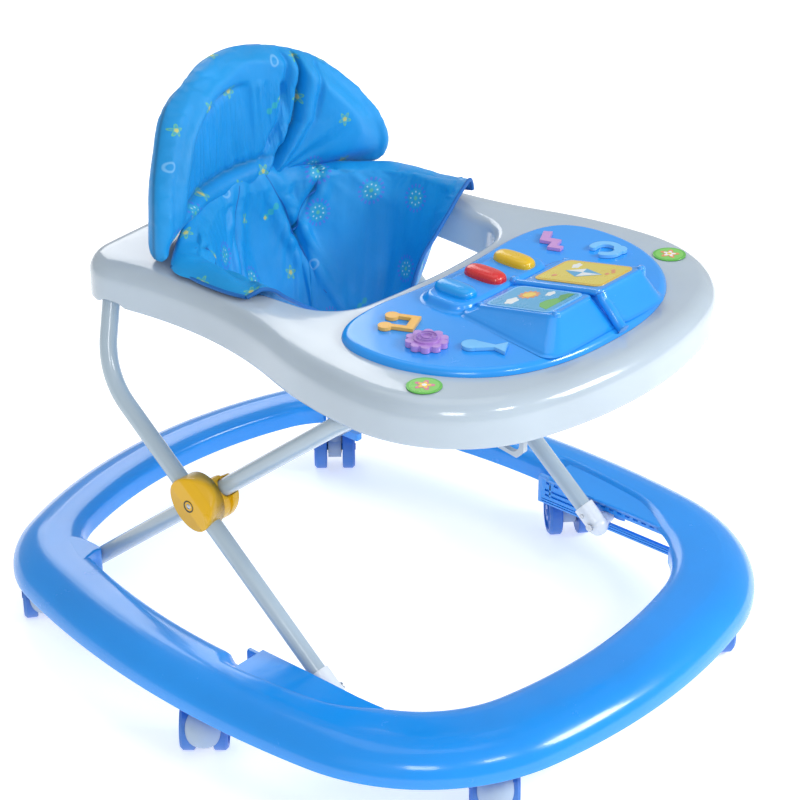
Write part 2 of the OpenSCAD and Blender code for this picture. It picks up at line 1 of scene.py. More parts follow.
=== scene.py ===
import bpy, bmesh, math, random
import numpy as np
from mathutils import Vector, Matrix, noise
from mathutils.bvhtree import BVHTree


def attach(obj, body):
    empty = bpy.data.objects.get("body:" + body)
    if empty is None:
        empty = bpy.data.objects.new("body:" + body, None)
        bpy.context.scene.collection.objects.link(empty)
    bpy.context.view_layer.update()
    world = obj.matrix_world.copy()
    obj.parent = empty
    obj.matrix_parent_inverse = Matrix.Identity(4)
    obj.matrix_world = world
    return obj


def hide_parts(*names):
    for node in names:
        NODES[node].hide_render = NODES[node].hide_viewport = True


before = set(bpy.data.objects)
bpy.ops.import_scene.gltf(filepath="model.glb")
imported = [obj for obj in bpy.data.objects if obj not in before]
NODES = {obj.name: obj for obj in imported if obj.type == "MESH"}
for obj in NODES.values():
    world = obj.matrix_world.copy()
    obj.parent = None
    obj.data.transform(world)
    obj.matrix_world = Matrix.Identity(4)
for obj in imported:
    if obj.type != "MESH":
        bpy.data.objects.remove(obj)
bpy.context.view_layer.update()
MY = 9.64  # the part's middle lies over the origin
MM = 0.001


# ---------------------------------------------------------------- helpers
def V(x, y, z):
    return (x * MM, (y + MY) * MM, z * MM)


def srgb(r, g, b):
    def f(c):
        c /= 255.0
        return c / 12.92 if c <= 0.04045 else ((c + 0.055) / 1.055) ** 2.4
    return (f(r), f(g), f(b), 1.0)


def obj_from(name, verts, faces, mat=None, body=None, smooth=True, mm=True):
    me = bpy.data.meshes.new(name)
    vs = [V(*p) for p in verts] if mm else [tuple(p) for p in verts]
    me.from_pydata(vs, [], faces)
    me.update()
    o = bpy.data.objects.new(name, me)
    bpy.context.scene.collection.objects.link(o)
    if smooth:
        me.polygons.foreach_set("use_smooth", [True] * len(me.polygons))
    if mat is not None:
        me.materials.append(mat)
    if body:
        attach(o, body)
    return o


def weighted(o):
    m = o.modifiers.new("normals", "WEIGHTED_NORMAL")
    m.keep_sharp = True
    return o


def loops_faces(nl, n, closed_rows=False, flip=False):
    fs = []
    rows = nl if closed_rows else nl - 1
    for j in range(rows):
        for i in range(n):
            a, b = j * n + i, j * n + (i + 1) % n
            c, d = ((j + 1) % nl) * n + (i + 1) % n, ((j + 1) % nl) * n + i
            fs.append((a, d, c, b) if flip else (a, b, c, d))
    return fs


def catmull(p, m, closed=True):
    p = np.asarray(p, float)
    n = len(p)
    out = []
    for i in range(n if closed else n - 1):
        if closed:
            a, b, c, d = p[(i - 1) % n], p[i], p[(i + 1) % n], p[(i + 2) % n]
        else:
            a, b, c, d = p[max(i - 1, 0)], p[i], p[i + 1], p[min(i + 2, n - 1)]
        for k in range(m):
            t = k / m
            out.append(0.5 * (2 * b + (c - a) * t + (2 * a - 5 * b + 4 * c - d) * t * t + (3 * b - a - 3 * c + d) * t ** 3))
    if not closed:
        out.append(p[-1])
    return np.array(out)


def normals2(p):
    """outward normals of a closed outline that runs anticlockwise"""
    d = np.roll(p, -1, 0) - np.roll(p, 1, 0)
    n = np.stack([d[:, 1], -d[:, 0]], 1)
    return n / np.maximum(np.linalg.norm(n, axis=1, keepdims=True), 1e-9)


def area2(p):
    q = np.roll(p, -1, 0)
    return 0.5 * np.sum(p[:, 0] * q[:, 1] - q[:, 0] * p[:, 1])


def pillow(name, outline, z0, z1, r, mat, body, dome=0.0, steps=6, place=None, rim=None):
    """a plate with a rounded upper edge and an optional crown; outline in mm"""
    p = np.asarray(outline, float)
    if area2(p) < 0:
        p = p[::-1]
    nrm = normals2(p)
    cen = p.mean(0)
    rows = [(p, z0)]
    for k in range(steps + 1):
        g = math.pi / 2 * k / steps
        rows.append((p - nrm * r * (1 - math.cos(g)), z1 - dome - r + r * math.sin(g)))
    inner = rows[-1][0]
    zc = rows[-1][1]
    for t in (0.2, 0.45, 0.7, 0.88):
        rows.append((inner + (cen - inner) * t, zc + dome * (1 - (1 - t) ** 2)))
    vs, n = [], len(p)
    for q, z in rows:
        vs += [(x, y, z) for x, y in q]
    fs = loops_faces(len(rows), n)
    vs.append((cen[0], cen[1], zc + dome))
    top = (len(rows) - 1) * n
    fs += [(top + i, top + (i + 1) % n, len(vs) - 1) for i in range(n)]
    fs.append(tuple(range(n - 1, -1, -1)))
    if place is not None:
        vs = [tuple(place(np.array(v))) for v in vs]
    o = obj_from(name, vs, fs, mat, body)
    return weighted(o)


def rrect(w, h, r, n=10, cx=0.0, cy=0.0):
    pts = []
    for sx, sy, a0 in ((1, -1, -90), (1, 1, 0), (-1, 1, 90), (-1, -1, 180)):
        for k in range(n + 1):
            a = math.radians(a0 + 90 * k / n)
            pts.append((cx + sx * (w / 2 - r) + r * math.cos(a), cy + sy * (h / 2 - r) + r * math.sin(a)))
    return np.array(pts)


def sweep(name, path, radius, mat, body, seg=32, caps=True, squash=None):
    """round tube along a path of mm points; radius is a number or a list"""
    p = np.asarray(path, float)
    n = len(p)
    t = np.gradient(p, axis=0)
    t /= np.linalg.norm(t, axis=1, keepdims=True)
    ref = np.array([0, 0, 1.0]) if abs(t[0][2]) < 0.9 else np.array([1.0, 0, 0])
    u = np.cross(t[0], ref)
    u /= np.linalg.norm(u)
    vs = []
    rad = radius if hasattr(radius, "__len__") else [radius] * n
    for i in range(n):
        u = u - t[i] * (u @ t[i])
        u /= np.linalg.norm(u)
        w = np.cross(t[i], u)
        for k in range(seg):
            a = 2 * math.pi * k / seg
            vs.append(tuple(p[i] + rad[i] * (math.cos(a) * u + math.sin(a) * w)))
    fs = loops_faces(n, seg)
    if caps:
        fs.append(tuple(range(seg - 1, -1, -1)))
        fs.append(tuple(range((n - 1) * seg, n * seg)))
    o = obj_from(name, vs, fs, mat, body)
    bm = bmesh.new()
    bm.from_mesh(o.data)
    bmesh.ops.recalc_face_normals(bm, faces=bm.faces)
    bm.to_mesh(o.data)
    bm.free()
    return weighted(o)


def lathe(name, prof, mat, body, place, seg=64):
    """profile [(r, h)] turned round an axis; place maps (x, y, h) to mm in the row frame"""
    vs, n = [], len(prof)
    for r, h in prof:
        for k in range(seg):
            a = 2 * math.pi * k / seg
            vs.append(tuple(place(np.array([r * math.cos(a), r * math.sin(a), h]))))
    fs = loops_faces(n, seg)
    o = obj_from(name, vs, fs, mat, body)
    bm = bmesh.new()
    bm.from_mesh(o.data)
    bmesh.ops.remove_doubles(bm, verts=bm.verts, dist=1e-6)
    bmesh.ops.recalc_face_normals(bm, faces=bm.faces)
    bm.to_mesh(o.data)
    bm.free()
    return weighted(o)


def chain(arcs, y0):
    """arcs [radius, sweep] of one half, closed by a last arc square to the middle plane"""
    p, h, out = np.array([0.0, y0]), 0.0, []
    for R, s in arcs:
        s = math.radians(s)
        c = p + R * np.array([-math.sin(h), math.cos(h)])
        g = h + s * (1 if R > 0 else -1)
        out.append((p, h, R, s, c))
        p, h = c + R * np.array([math.sin(g), -math.cos(g)]), g
    s = math.pi - h
    R = p[0] / math.sin(s)
    out.append((p, h, R, s, p + R * np.array([-math.sin(h), math.cos(h)])))
    return out


def plan(arcs, y0, steps, off):
    w = chain(arcs, y0)
    half = []
    for (p, h, R, s, c), n in zip(w, steps):
        for k in range(n):
            g = h + s * (1 if R > 0 else -1) * k / n
            half.append(c + (R + off) * np.array([math.sin(g), -math.cos(g)]))
    p, h, R, s, c = w[-1]
    half.append(c + (R + off) * np.array([math.sin(h + s), -math.cos(h + s)]))
    half = np.array(half)
    rest = half[1:-1][::-1].copy()
    rest[:, 0] *= -1
    return np.vstack([half, rest])


# ---------------------------------------------------------------- materials
def nodes_of(m):
    m.use_nodes = True
    nt = m.node_tree
    nt.nodes.clear()
    out = nt.nodes.new("ShaderNodeOutputMaterial")
    b = nt.nodes.new("ShaderNodeBsdfPrincipled")
    nt.links.new(b.outputs[0], out.inputs[0])
    return nt, b


def link(nt, a, b):
    nt.links.new(a, b)


def new(nt, kind, **kw):
    n = nt.nodes.new(kind)
    for k, v in kw.items():
        setattr(n, k, v)
    return n


def tex_noise(nt, scale, detail=4.0, rough=0.5, coords=None):
    t = new(nt, "ShaderNodeTexNoise")
    t.inputs["Scale"].default_value = scale
    t.inputs["Detail"].default_value = detail
    t.inputs["Roughness"].default_value = rough
    if coords is not None:
        link(nt, coords, t.inputs["Vector"])
    return t


def ramp(nt, src, lo, hi, a, b):
    r = new(nt, "ShaderNodeMapRange")
    r.inputs["From Min"].default_value = lo
    r.inputs["From Max"].default_value = hi
    r.inputs["To Min"].default_value = a
    r.inputs["To Max"].default_value = b
    link(nt, src, r.inputs["Value"])
    return r.outputs[0]


def mixc(nt, fac, a, b, mode="MIX"):
    m = new(nt, "ShaderNodeMix", data_type="RGBA", blend_type=mode)
    if hasattr(fac, "links"):
        link(nt, fac, m.inputs[0])
    else:
        m.inputs[0].default_value = fac
    for s, i in ((a, 6), (b, 7)):
        if hasattr(s, "links"):
            link(nt, s, m.inputs[i])
        else:
            m.inputs[i].default_value = s
    return m.outputs[2]


def tone(c, k):
    return (min(1, c[0] * k), min(1, c[1] * k), min(1, c[2] * k), 1.0)


def plastic(name, col, rough=0.22, coat=0.4, spec=0.5, bump=0.12, wear=0.25, round_mm=0.0, depth=0.0, sss=0.0):
    """moulded plastic: faint flow marks, a little orange peel, rubbed edges"""
    m = bpy.data.materials.new(name)
    nt, b = nodes_of(m)
    co = new(nt, "ShaderNodeTexCoord").outputs["Object"]
    big = tex_noise(nt, 9.0, 3.0, 0.5, co).outputs["Fac"]
    base = mixc(nt, ramp(nt, big, 0.3, 0.7, 0.0, 1.0), tone(col, 0.94), tone(col, 1.05))
    geo = new(nt, "ShaderNodeNewGeometry")
    edge = ramp(nt, geo.outputs["Pointiness"], 0.52, 0.62, 0.0, wear)
    base = mixc(nt, edge, base, tuple(0.35 + 0.65 * c for c in col[:3]) + (1.0,))
    link(nt, base, b.inputs["Base Color"])
    scr = tex_noise(nt, 160.0, 6.0, 0.65, co).outputs["Fac"]
    smudge = tex_noise(nt, 22.0, 5.0, 0.6, co).outputs["Fac"]
    r1 = ramp(nt, smudge, 0.3, 0.75, rough * 0.8, rough * 1.35)
    add = new(nt, "ShaderNodeMath", operation="ADD")
    link(nt, r1, add.inputs[0])
    link(nt, ramp(nt, scr, 0.45, 0.8, 0.0, 0.06), add.inputs[1])
    link(nt, add.outputs[0], b.inputs["Roughness"])
    b.inputs["Specular IOR Level"].default_value = spec
    b.inputs["Coat Weight"].default_value = coat
    b.inputs["Coat Roughness"].default_value = 0.06
    if sss:
        b.inputs["Subsurface Weight"].default_value = sss
        b.inputs["Subsurface Radius"].default_value = (0.006, 0.006, 0.008)
        b.inputs["Subsurface Scale"].default_value = 0.6
    peel = tex_noise(nt, 420.0, 2.0, 0.5, co).outputs["Fac"]
    bn = new(nt, "ShaderNodeBump")
    bn.inputs["Strength"].default_value = bump
    bn.inputs["Distance"].default_value = 0.0002
    link(nt, peel, bn.inputs["Height"])
    if round_mm:
        bev = new(nt, "ShaderNodeBevel", samples=4)
        bev.inputs["Radius"].default_value = round_mm * MM
        link(nt, bev.outputs[0], bn.inputs["Normal"])
    link(nt, bn.outputs[0], b.inputs["Normal"])
    return m


def metal(name, col, rough=0.3, scale=300.0, round_mm=0.3):
    m = bpy.data.materials.new(name)
    nt, b = nodes_of(m)
    co = new(nt, "ShaderNodeTexCoord").outputs["Object"]
    n = tex_noise(nt, scale, 4.0, 0.6, co).outputs["Fac"]
    b.inputs["Metallic"].default_value = 1.0
    link(nt, mixc(nt, ramp(nt, n, 0.3, 0.7, 0, 1), tone(col, 0.85), tone(col, 1.1)), b.inputs["Base Color"])
    link(nt, ramp(nt, n, 0.3, 0.7, rough * 0.7, rough * 1.3), b.inputs["Roughness"])
    bn = new(nt, "ShaderNodeBump")
    bn.inputs["Strength"].default_value = 0.15
    bn.inputs["Distance"].default_value = 0.0001
    link(nt, n, bn.inputs["Height"])
    bev = new(nt, "ShaderNodeBevel", samples=4)
    bev.inputs["Radius"].default_value = round_mm * MM
    link(nt, bev.outputs[0], bn.inputs["Normal"])
    link(nt, bn.outputs[0], b.inputs["Normal"])
    return m


BLUE = srgb(52, 138, 236)
M_ring = plastic("ring_blue", srgb(16, 148, 241), 0.2, 0.32, sss=0.05)
M_ring_cad = plastic("rack_blue", srgb(16, 148, 241), 0.22, 0.4, round_mm=0.8)
M_panel = plastic("panel_blue", srgb(32, 154, 246), 0.2, 0.35)
M_tray = plastic("tray_white", srgb(179, 194, 207), 0.16, 0.5, wear=0.1, sss=0.12)
M_white = plastic("white_part", srgb(222, 229, 236), 0.28, 0.2, round_mm=0.6)
M_hood = plastic("hood_grey", srgb(166, 186, 208), 0.36, 0.1, round_mm=0.6)
M_wheel = plastic("wheel_blue", srgb(26, 112, 200), 0.4, 0.1, bump=0.3, round_mm=0.7)
M_tube = plastic("tube_paint", srgb(172, 190, 203), 0.18, 0.5, bump=0.06, wear=0.0)
M_amber = plastic("amber", srgb(232, 180, 0), 0.28, 0.12, wear=0.1)
M_amber_cad = plastic("amber_cad", srgb(240, 178, 10), 0.26, 0.35, round_mm=1.2)
M_steel = metal("steel", srgb(190, 194, 200))
M_zinc = metal("zinc", srgb(170, 178, 190), 0.4)
M_board = plastic("board", srgb(24, 96, 52), 0.4, 0.1, round_mm=0.2)
M_black = plastic("black", srgb(28, 28, 30), 0.5, 0.0, round_mm=0.3)
M_sil = plastic("silicone", srgb(210, 210, 204), 0.55, 0.0, round_mm=0.3)
M_cyan = plastic("button_cyan", srgb(0, 158, 238), 0.22, 0.4)
M_red = plastic("button_red", srgb(216, 34, 38), 0.24, 0.4)
M_yel = plastic("button_yellow", srgb(226, 186, 16), 0.24, 0.4)
M_orange = plastic("shape_orange", srgb(238, 180, 52), 0.3, 0.2, round_mm=0.8)
M_purple = plastic("shape_purple", srgb(176, 128, 214), 0.3, 0.2, round_mm=0.8)
M_sky = plastic("shape_sky", srgb(88, 186, 248), 0.3, 0.2, round_mm=0.8)
M_pink = plastic("shape_pink", srgb(190, 130, 206), 0.3, 0.2, round_mm=0.8)


# ---------------------------------------------------------------- mesh tools
def set_attr(me, name, data, kind="FLOAT"):
    a = me.attributes.new(name, "FLOAT_VECTOR" if kind == "VEC" else "FLOAT", "POINT")
    a.data.foreach_set("vector" if kind == "VEC" else "value", np.asarray(data, np.float32).ravel())


def coords(me):
    a = np.empty(len(me.vertices) * 3, np.float64)
    me.vertices.foreach_get("co", a)
    p = a.reshape(-1, 3) / MM
    p[:, 1] -= MY
    return p


def put_coords(me, p):
    q = p.copy()
    q[:, 1] += MY
    me.vertices.foreach_set("co", (q * MM).ravel())
    me.update()


def sstep(a, lo, hi):
    t = np.clip((a - lo) / (hi - lo), 0, 1)
    return t * t * (3 - 2 * t)


def vnoise(p, sx, sy, seed=0.0):
    return np.array([noise.noise(Vector((a / sx + seed, b_ / sy - seed, seed * 1.7))) for a, b_ in p])


def seg_dist(p, line):
    """distance of points to a polyline"""
    best = np.full(len(p), 1e9)
    line = np.asarray(line, float)
    for a, b_ in zip(line, line[1:]):
        d = b_ - a
        t = np.clip(((p - a) @ d) / (d @ d), 0, 1)
        best = np.minimum(best, np.linalg.norm(p - a - t[:, None] * d, axis=1))
    return best


def remeshed(o, voxel):
    md = o.modifiers.new("remesh", "REMESH")
    md.mode = "VOXEL"
    md.voxel_size = voxel * MM
    bake_modifiers(o)


def bake_modifiers(o):
    dg = bpy.context.evaluated_depsgraph_get()
    dg.update()
    me = bpy.data.meshes.new_from_object(o.evaluated_get(dg))
    old = o.data
    o.modifiers.clear()
    o.data = me
    bpy.data.meshes.remove(old)


def simulate(o, pressure=4.0, frames=20, cap=9.0, pin=None, gravity=0.0, shrink=0.0, bend=0.5, stiff=15.0):
    """cloth run on the mesh, its result kept within a cap of the start shape"""
    start = coords(o.data)
    if pin is not None:
        g = o.vertex_groups.new(name="pin")
        for i, wgt in enumerate(pin):
            if wgt > 0:
                g.add([i], float(wgt), "REPLACE")
    c = o.modifiers.new("cloth", "CLOTH")
    st = c.settings
    st.quality = 6
    st.mass = 0.15
    st.tension_stiffness = stiff
    st.compression_stiffness = stiff
    st.shear_stiffness = 5
    st.bending_stiffness = bend
    st.effector_weights.gravity = gravity
    if pressure:
        st.use_pressure = True
        st.uniform_pressure_force = pressure
    if shrink:
        st.shrink_min = shrink
        st.shrink_max = shrink
    if pin is not None:
        st.vertex_group_mass = "pin"
        st.pin_stiffness = 1.0
    c.point_cache.frame_start = 1
    c.point_cache.frame_end = frames
    sc = bpy.context.scene
    for f in range(1, frames + 1):
        sc.frame_set(f)
    bake_modifiers(o)
    sc.frame_set(1)
    p = coords(o.data)
    d = p - start
    L = np.linalg.norm(d, axis=1, keepdims=True)
    p = start + d * np.minimum(1.0, cap / np.maximum(L, 1e-6))
    put_coords(o.data, p)


def subdivide(o, n):
    md = o.modifiers.new("sub", "SUBSURF")
    md.levels = n
    md.render_levels = n
    bake_modifiers(o)
    o.data.polygons.foreach_set("use_smooth", [True] * len(o.data.polygons))


def box_mm(name, lo, hi, mat=None, body=None, bevel=0.0, seg=3):
    x0, y0, z0 = lo
    x1, y1, z1 = hi
    v = [(x0, y0, z0), (x1, y0, z0), (x1, y1, z0), (x0, y1, z0), (x0, y0, z1), (x1, y0, z1), (x1, y1, z1), (x0, y1, z1)]
    f = [(0, 3, 2, 1), (4, 5, 6, 7), (0, 1, 5, 4), (1, 2, 6, 5), (2, 3, 7, 6), (3, 0, 4, 7)]
    o = obj_from(name, v, f, mat, body)
    if bevel:
        md = o.modifiers.new("bevel", "BEVEL")
        md.width = bevel * MM
        md.segments = seg
        md.limit_method = "ANGLE"
        md.angle_limit = math.radians(35)
        weighted(o)
    return o


def cut(o, cutters):
    for c in cutters:
        md = o.modifiers.new("cut", "BOOLEAN")
        md.operation = "DIFFERENCE"
        md.solver = "EXACT"
        md.object = c
        bake_modifiers(o)
    for c in cutters:
        me = c.data
        bpy.data.objects.remove(c)
        bpy.data.meshes.remove(me)


def prism(name, pts, z0, z1, mat=None, body=None):
    n = len(pts)
    p = np.asarray(pts, float)
    if area2(p) < 0:
        p = p[::-1]
    v = [(a, b_, z0) for a, b_ in p] + [(a, b_, z1) for a, b_ in p]
    f = [tuple(range(n - 1, -1, -1)), tuple(range(n, 2 * n))] + [(i, (i + 1) % n, n + (i + 1) % n, n + i) for i in range(n)]
    return obj_from(name, v, f, mat, body, smooth=False)


def stadium_x(name, y0, y1, z, r, x0, x1):
    """slot cutter: a rounded bar lying along y, pushed through along x"""
    pr = []
    for k in range(17):
        a = -math.pi / 2 + math.pi * k / 16
        pr.append((y1 - r + r * math.cos(a), z + r * math.sin(a)))
    for k in range(17):
        a = math.pi / 2 + math.pi * k / 16
        pr.append((y0 + r + r * math.cos(a), z + r * math.sin(a)))
    n = len(pr)
    v = [(x0, a, b_) for a, b_ in pr] + [(x1, a, b_) for a, b_ in pr]
    f = [tuple(range(n)), tuple(range(2 * n - 1, n - 1, -1))] + [(i, n + i, n + (i + 1) % n, (i + 1) % n) for i in range(n)]
    o = obj_from(name, v, f, None, None, smooth=False)
    bm = bmesh.new()
    bm.from_mesh(o.data)
    bmesh.ops.recalc_face_normals(bm, faces=bm.faces)
    bm.to_mesh(o.data)
    bm.free()
    return o


def soften(o, width, seg=3, angle=38):
    """rounds the sharp edges of a piece that keeps its own shape"""
    md = o.modifiers.new("bevel", "BEVEL")
    md.width = width * MM
    md.segments = seg
    md.limit_method = "ANGLE"
    md.angle_limit = math.radians(angle)
    md.harden_normals = False
    return weighted(o)

# ---------------------------------------------------------------- base ring
RING_OUT, RO_Y = [[602, 13.1], [182.8, 68.7], [902.3, 24], [123.6, 51.3]], -339
RING_IN, RI_Y = [[493.8, 13.6], [116.4, 63.7], [671.9, 29.1], [90.2, 53.8]], -262.7
RN = [26, 44, 60, 26, 12]
skin_o = catmull([(0, 60), (0, 64), (1.2, 70), (5.4, 77.4), (13, 83.9), (22, 88), (31, 90)], 4, False)
SI_A = catmull([(0, 68), (0.2, 78), (1.2, 83), (3.6, 86), (8, 88.2), (15, 89.5), (25, 89.9)], 8, False)
SI_B = catmull([(0, 68), (0.3, 72), (3, 77), (9, 81.2), (14.6, 84.2), (18.4, 87.2), (21.4, 89.5), (25, 90.15)], 8, False)
skin_i = SI_A[::2][::-1]


def inner_row(k):
    """the inner shoulder is crisp, and softer along the racks"""
    (ea, za), (eb, zb) = SI_A[::2][::-1][k], SI_B[::2][::-1][k]
    a, b_ = plan(RING_IN, RI_Y, RN, ea), plan(RING_IN, RI_Y, RN, eb)
    w = sstep(np.abs(a[:, 0]), 188, 198) * sstep(a[:, 1], -196, -136) * (1 - sstep(a[:, 1], -40, -30))
    q = a * (1 - w[:, None]) + b_ * w[:, None]
    return np.column_stack([q, za * (1 - w) + zb * w])



def band_mesh(name, rows, mat, body):
    n = len(rows[0])
    vs = [tuple(p) for r in rows for p in r]
    o = obj_from(name, vs, loops_faces(len(rows), n, closed_rows=True), mat, body)
    bm = bmesh.new()
    bm.from_mesh(o.data)
    bmesh.ops.recalc_face_normals(bm, faces=bm.faces)
    bm.to_mesh(o.data)
    bm.free()
    return o


def lifted(p, z):
    return np.column_stack([p, np.full(len(p), float(z))])


rows = []
for e, z in skin_o:
    rows.append(lifted(plan(RING_OUT, RO_Y, RN, -e), z))
po, pi = plan(RING_OUT, RO_Y, RN, -31), plan(RING_IN, RI_Y, RN, 25)
for t, dz in ((0.33, 0.25), (0.67, 0.2)):
    rows.append(lifted(po * (1 - t) + pi * t, 90 + dz - 0.15))
for k in range(len(skin_i)):
    rows.append(inner_row(k))
# rolled lower edge and inside of the shell
rows.append(lifted(plan(RING_IN, RI_Y, RN, 0.3), 66.6))
rows.append(lifted(plan(RING_IN, RI_Y, RN, 1.6), 66.0))
rows.append(lifted(plan(RING_IN, RI_Y, RN, 2.9), 66.8))
for e, z in ((3, 74), (5.5, 78), (10, 81.3), (18, 84.8), (25, 86.8)):
    rows.append(lifted(plan(RING_IN, RI_Y, RN, e), z))
for e, z in ((31, 87), (22, 85.2), (14, 81.2), (8, 76), (4.6, 69), (3, 64), (3, 61)):
    rows.append(lifted(plan(RING_OUT, RO_Y, RN, -e), z))
rows.append(lifted(plan(RING_OUT, RO_Y, RN, -2.4), 59.4))
rows.append(lifted(plan(RING_OUT, RO_Y, RN, -1.2), 59.2))
rows.append(lifted(plan(RING_OUT, RO_Y, RN, -0.3), 59.5))
ring = band_mesh("ring_shell", rows, M_ring, "base")
cs = []
for s in (1, -1):
    for lo, hi in (((172, -214, 40), (210, -37.2, 83.4)), ((154, 178.9, 40), (177.4, 216.1, 83.4))):
        x0, x1 = sorted((s * lo[0], s * hi[0]))
        cs.append(box_mm("cutter", (x0, lo[1], lo[2]), (x1, hi[1], hi[2])))
cut(ring, cs)
ring.data.polygons.foreach_set("use_smooth", [True] * len(ring.data.polygons))
ring.data.set_sharp_from_angle(angle=math.radians(42))
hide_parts("base_ring")
# sockets and webs under the ring
CX, CY = [158, 257, 203], [-278, -32, 234]
for s, sn in ((1, "left"), (-1, "right")):
    for i, rn in enumerate(("front", "mid", "rear")):
        x, y = s * CX[i], CY[i]
        so = lathe(f"socket_{rn}_{sn}", [(4.1, 54), (4.3, 51.6), (7.4, 51.6), (8, 52.4), (8.4, 78), (9.5, 83), (4.1, 83)], M_ring, "base", lambda p, x=x, y=y: np.array([x + p[0], y + p[1], p[2]]), 32)
        for k in range(4):
            a = math.radians(45 + 90 * k)
            d, q = np.array([math.cos(a), math.sin(a)]), np.array([-math.sin(a), math.cos(a)])
            v = []
            for r, z in ((7.5, 58), (15, 74), (15, 82), (7.5, 84)):
                for w_ in (-0.9, 0.9):
                    v.append((x + d[0] * r + q[0] * w_, y + d[1] * r + q[1] * w_, z))
            f = [(0, 2, 4, 6), (1, 7, 5, 3), (0, 1, 3, 2), (2, 3, 5, 4), (4, 5, 7, 6), (6, 7, 1, 0)]
            wb = obj_from(f"web_{rn}_{sn}_{k}", v, f, M_ring, "base", smooth=False)

# ---------------------------------------------------------------- tray
TRAY, T_Y = [[373.3, 18.6], [122.7, 72.8], [363.8, 17.5], [-366.2, 32.2], [40, 97.7]], -300.5
OPEN, O_Y = [[700, 6.5], [44, 77.5], [900, 3]], -70
TN, ON = [20, 48, 18, 30, 34, 10], [24, 52, 20, 64]
def arched(q):
    """the lower edge lifts over the bent corners of the outer tube"""
    w = np.exp(-((q[:, 1] - 151.5) / 11.5) ** 4) * (np.abs(q[:, 0]) > 150)
    q[:, 2] += w * np.maximum(0, 350.6 - q[:, 2]) * 0.9
    return q


rows = []
rows.append(arched(lifted(plan(TRAY, T_Y, TN, -0.6), 344.9)))
for z in (345.4, 348, 356, 364):
    rows.append(arched(lifted(plan(TRAY, T_Y, TN, 0), z)))
for k in range(0, 9):
    g = math.pi / 2 * k / 8
    rows.append(lifted(plan(TRAY, T_Y, TN, -17 * (1 - math.cos(g))), 366.4 + 17 * math.sin(g)))
a_, b_ = plan(TRAY, T_Y, TN, -17), plan(OPEN, O_Y, ON, 9)
for t in (0.15, 0.35, 0.6, 0.85):
    rows.append(lifted(a_ * (1 - t) + b_ * t, 383.4 + 0.9 * math.sin(math.pi * t) ** 0.8))
for k in range(8, -1, -1):
    g = math.pi / 2 * k / 8
    rows.append(lifted(plan(OPEN, O_Y, ON, 9 * (1 - math.cos(g))), 374.4 + 9 * math.sin(g)))
for z in (370, 360, 350, 348.6):
    rows.append(lifted(plan(OPEN, O_Y, ON, 0), z))
rows.append(lifted(plan(OPEN, O_Y, ON, 1.5), 347.9))
for z in (348.6, 360, 374):
    rows.append(lifted(plan(OPEN, O_Y, ON, 3), z))
rows.append(lifted(plan(OPEN, O_Y, ON, 9), 380.6))
rows.append(lifted(plan(TRAY, T_Y, TN, -17), 380.6))
rows.append(lifted(plan(TRAY, T_Y, TN, -7), 376))
for z in (366, 356, 346):
    rows.append(arched(lifted(plan(TRAY, T_Y, TN, -3), z)))
tray = band_mesh("tray_shell", rows, M_tray, "tray")
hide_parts("tray_frame")

# ---------------------------------------------------------------- toy panel
half = [[0, -89], [26, -88.5], [54, -86], [82, -83], [108, -83.5], [130, -88], [147, -99], [157, -117], [160, -140], [157, -168], [147, -196],
        [130, -222], [106, -243], [76, -257], [40, -265], [0, -267]]
panel_loop = catmull(half + [[-x, y] for x, y in half[-2:0:-1]], 10)
PZ = 391.0
pan = pillow("panel_plate", panel_loop, 384.05, PZ, 6.6, M_panel, "tray", dome=0.5, steps=8)
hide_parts("toy_panel")


def superellipse(w, h, e, n, cx=0.0, cy=0.0):
    t = np.linspace(0, 2 * math.pi, n, endpoint=False)
    c, s = np.cos(t), np.sin(t)
    return np.column_stack([cx + w / 2 * np.sign(c) * np.abs(c) ** (2 / e), cy + h / 2 * np.sign(s) * np.abs(s) ** (2 / e)])


# raised bed under the buttons, blending into the plate with a cove
bed = []
rr = rrect(121, 46, 15, 14, 2, -129.5)
nn = normals2(rr)
for off, z in ((5.5, 391.0), (3.6, 391.3), (2.2, 392.0), (1.2, 393.2), (0.4, 394.6), (0, 395.4), (-0.9, 396.6), (-2.2, 397.3), (-4, 397.6)):
    bed.append(lifted(rr + nn * off, z))
vs = [tuple(p) for r in bed for p in r]
n_ = len(rr)
fs = loops_faces(len(bed), n_)
fs.append(tuple(range((len(bed) - 1) * n_, len(bed) * n_)))
b1 = weighted(obj_from("panel_bed", vs, fs, M_panel, "tray"))


# book: two lobes with sloping tops
def page_z(y):
    return 396.5 + (-156 - y) * (412 - 396) / 80.0


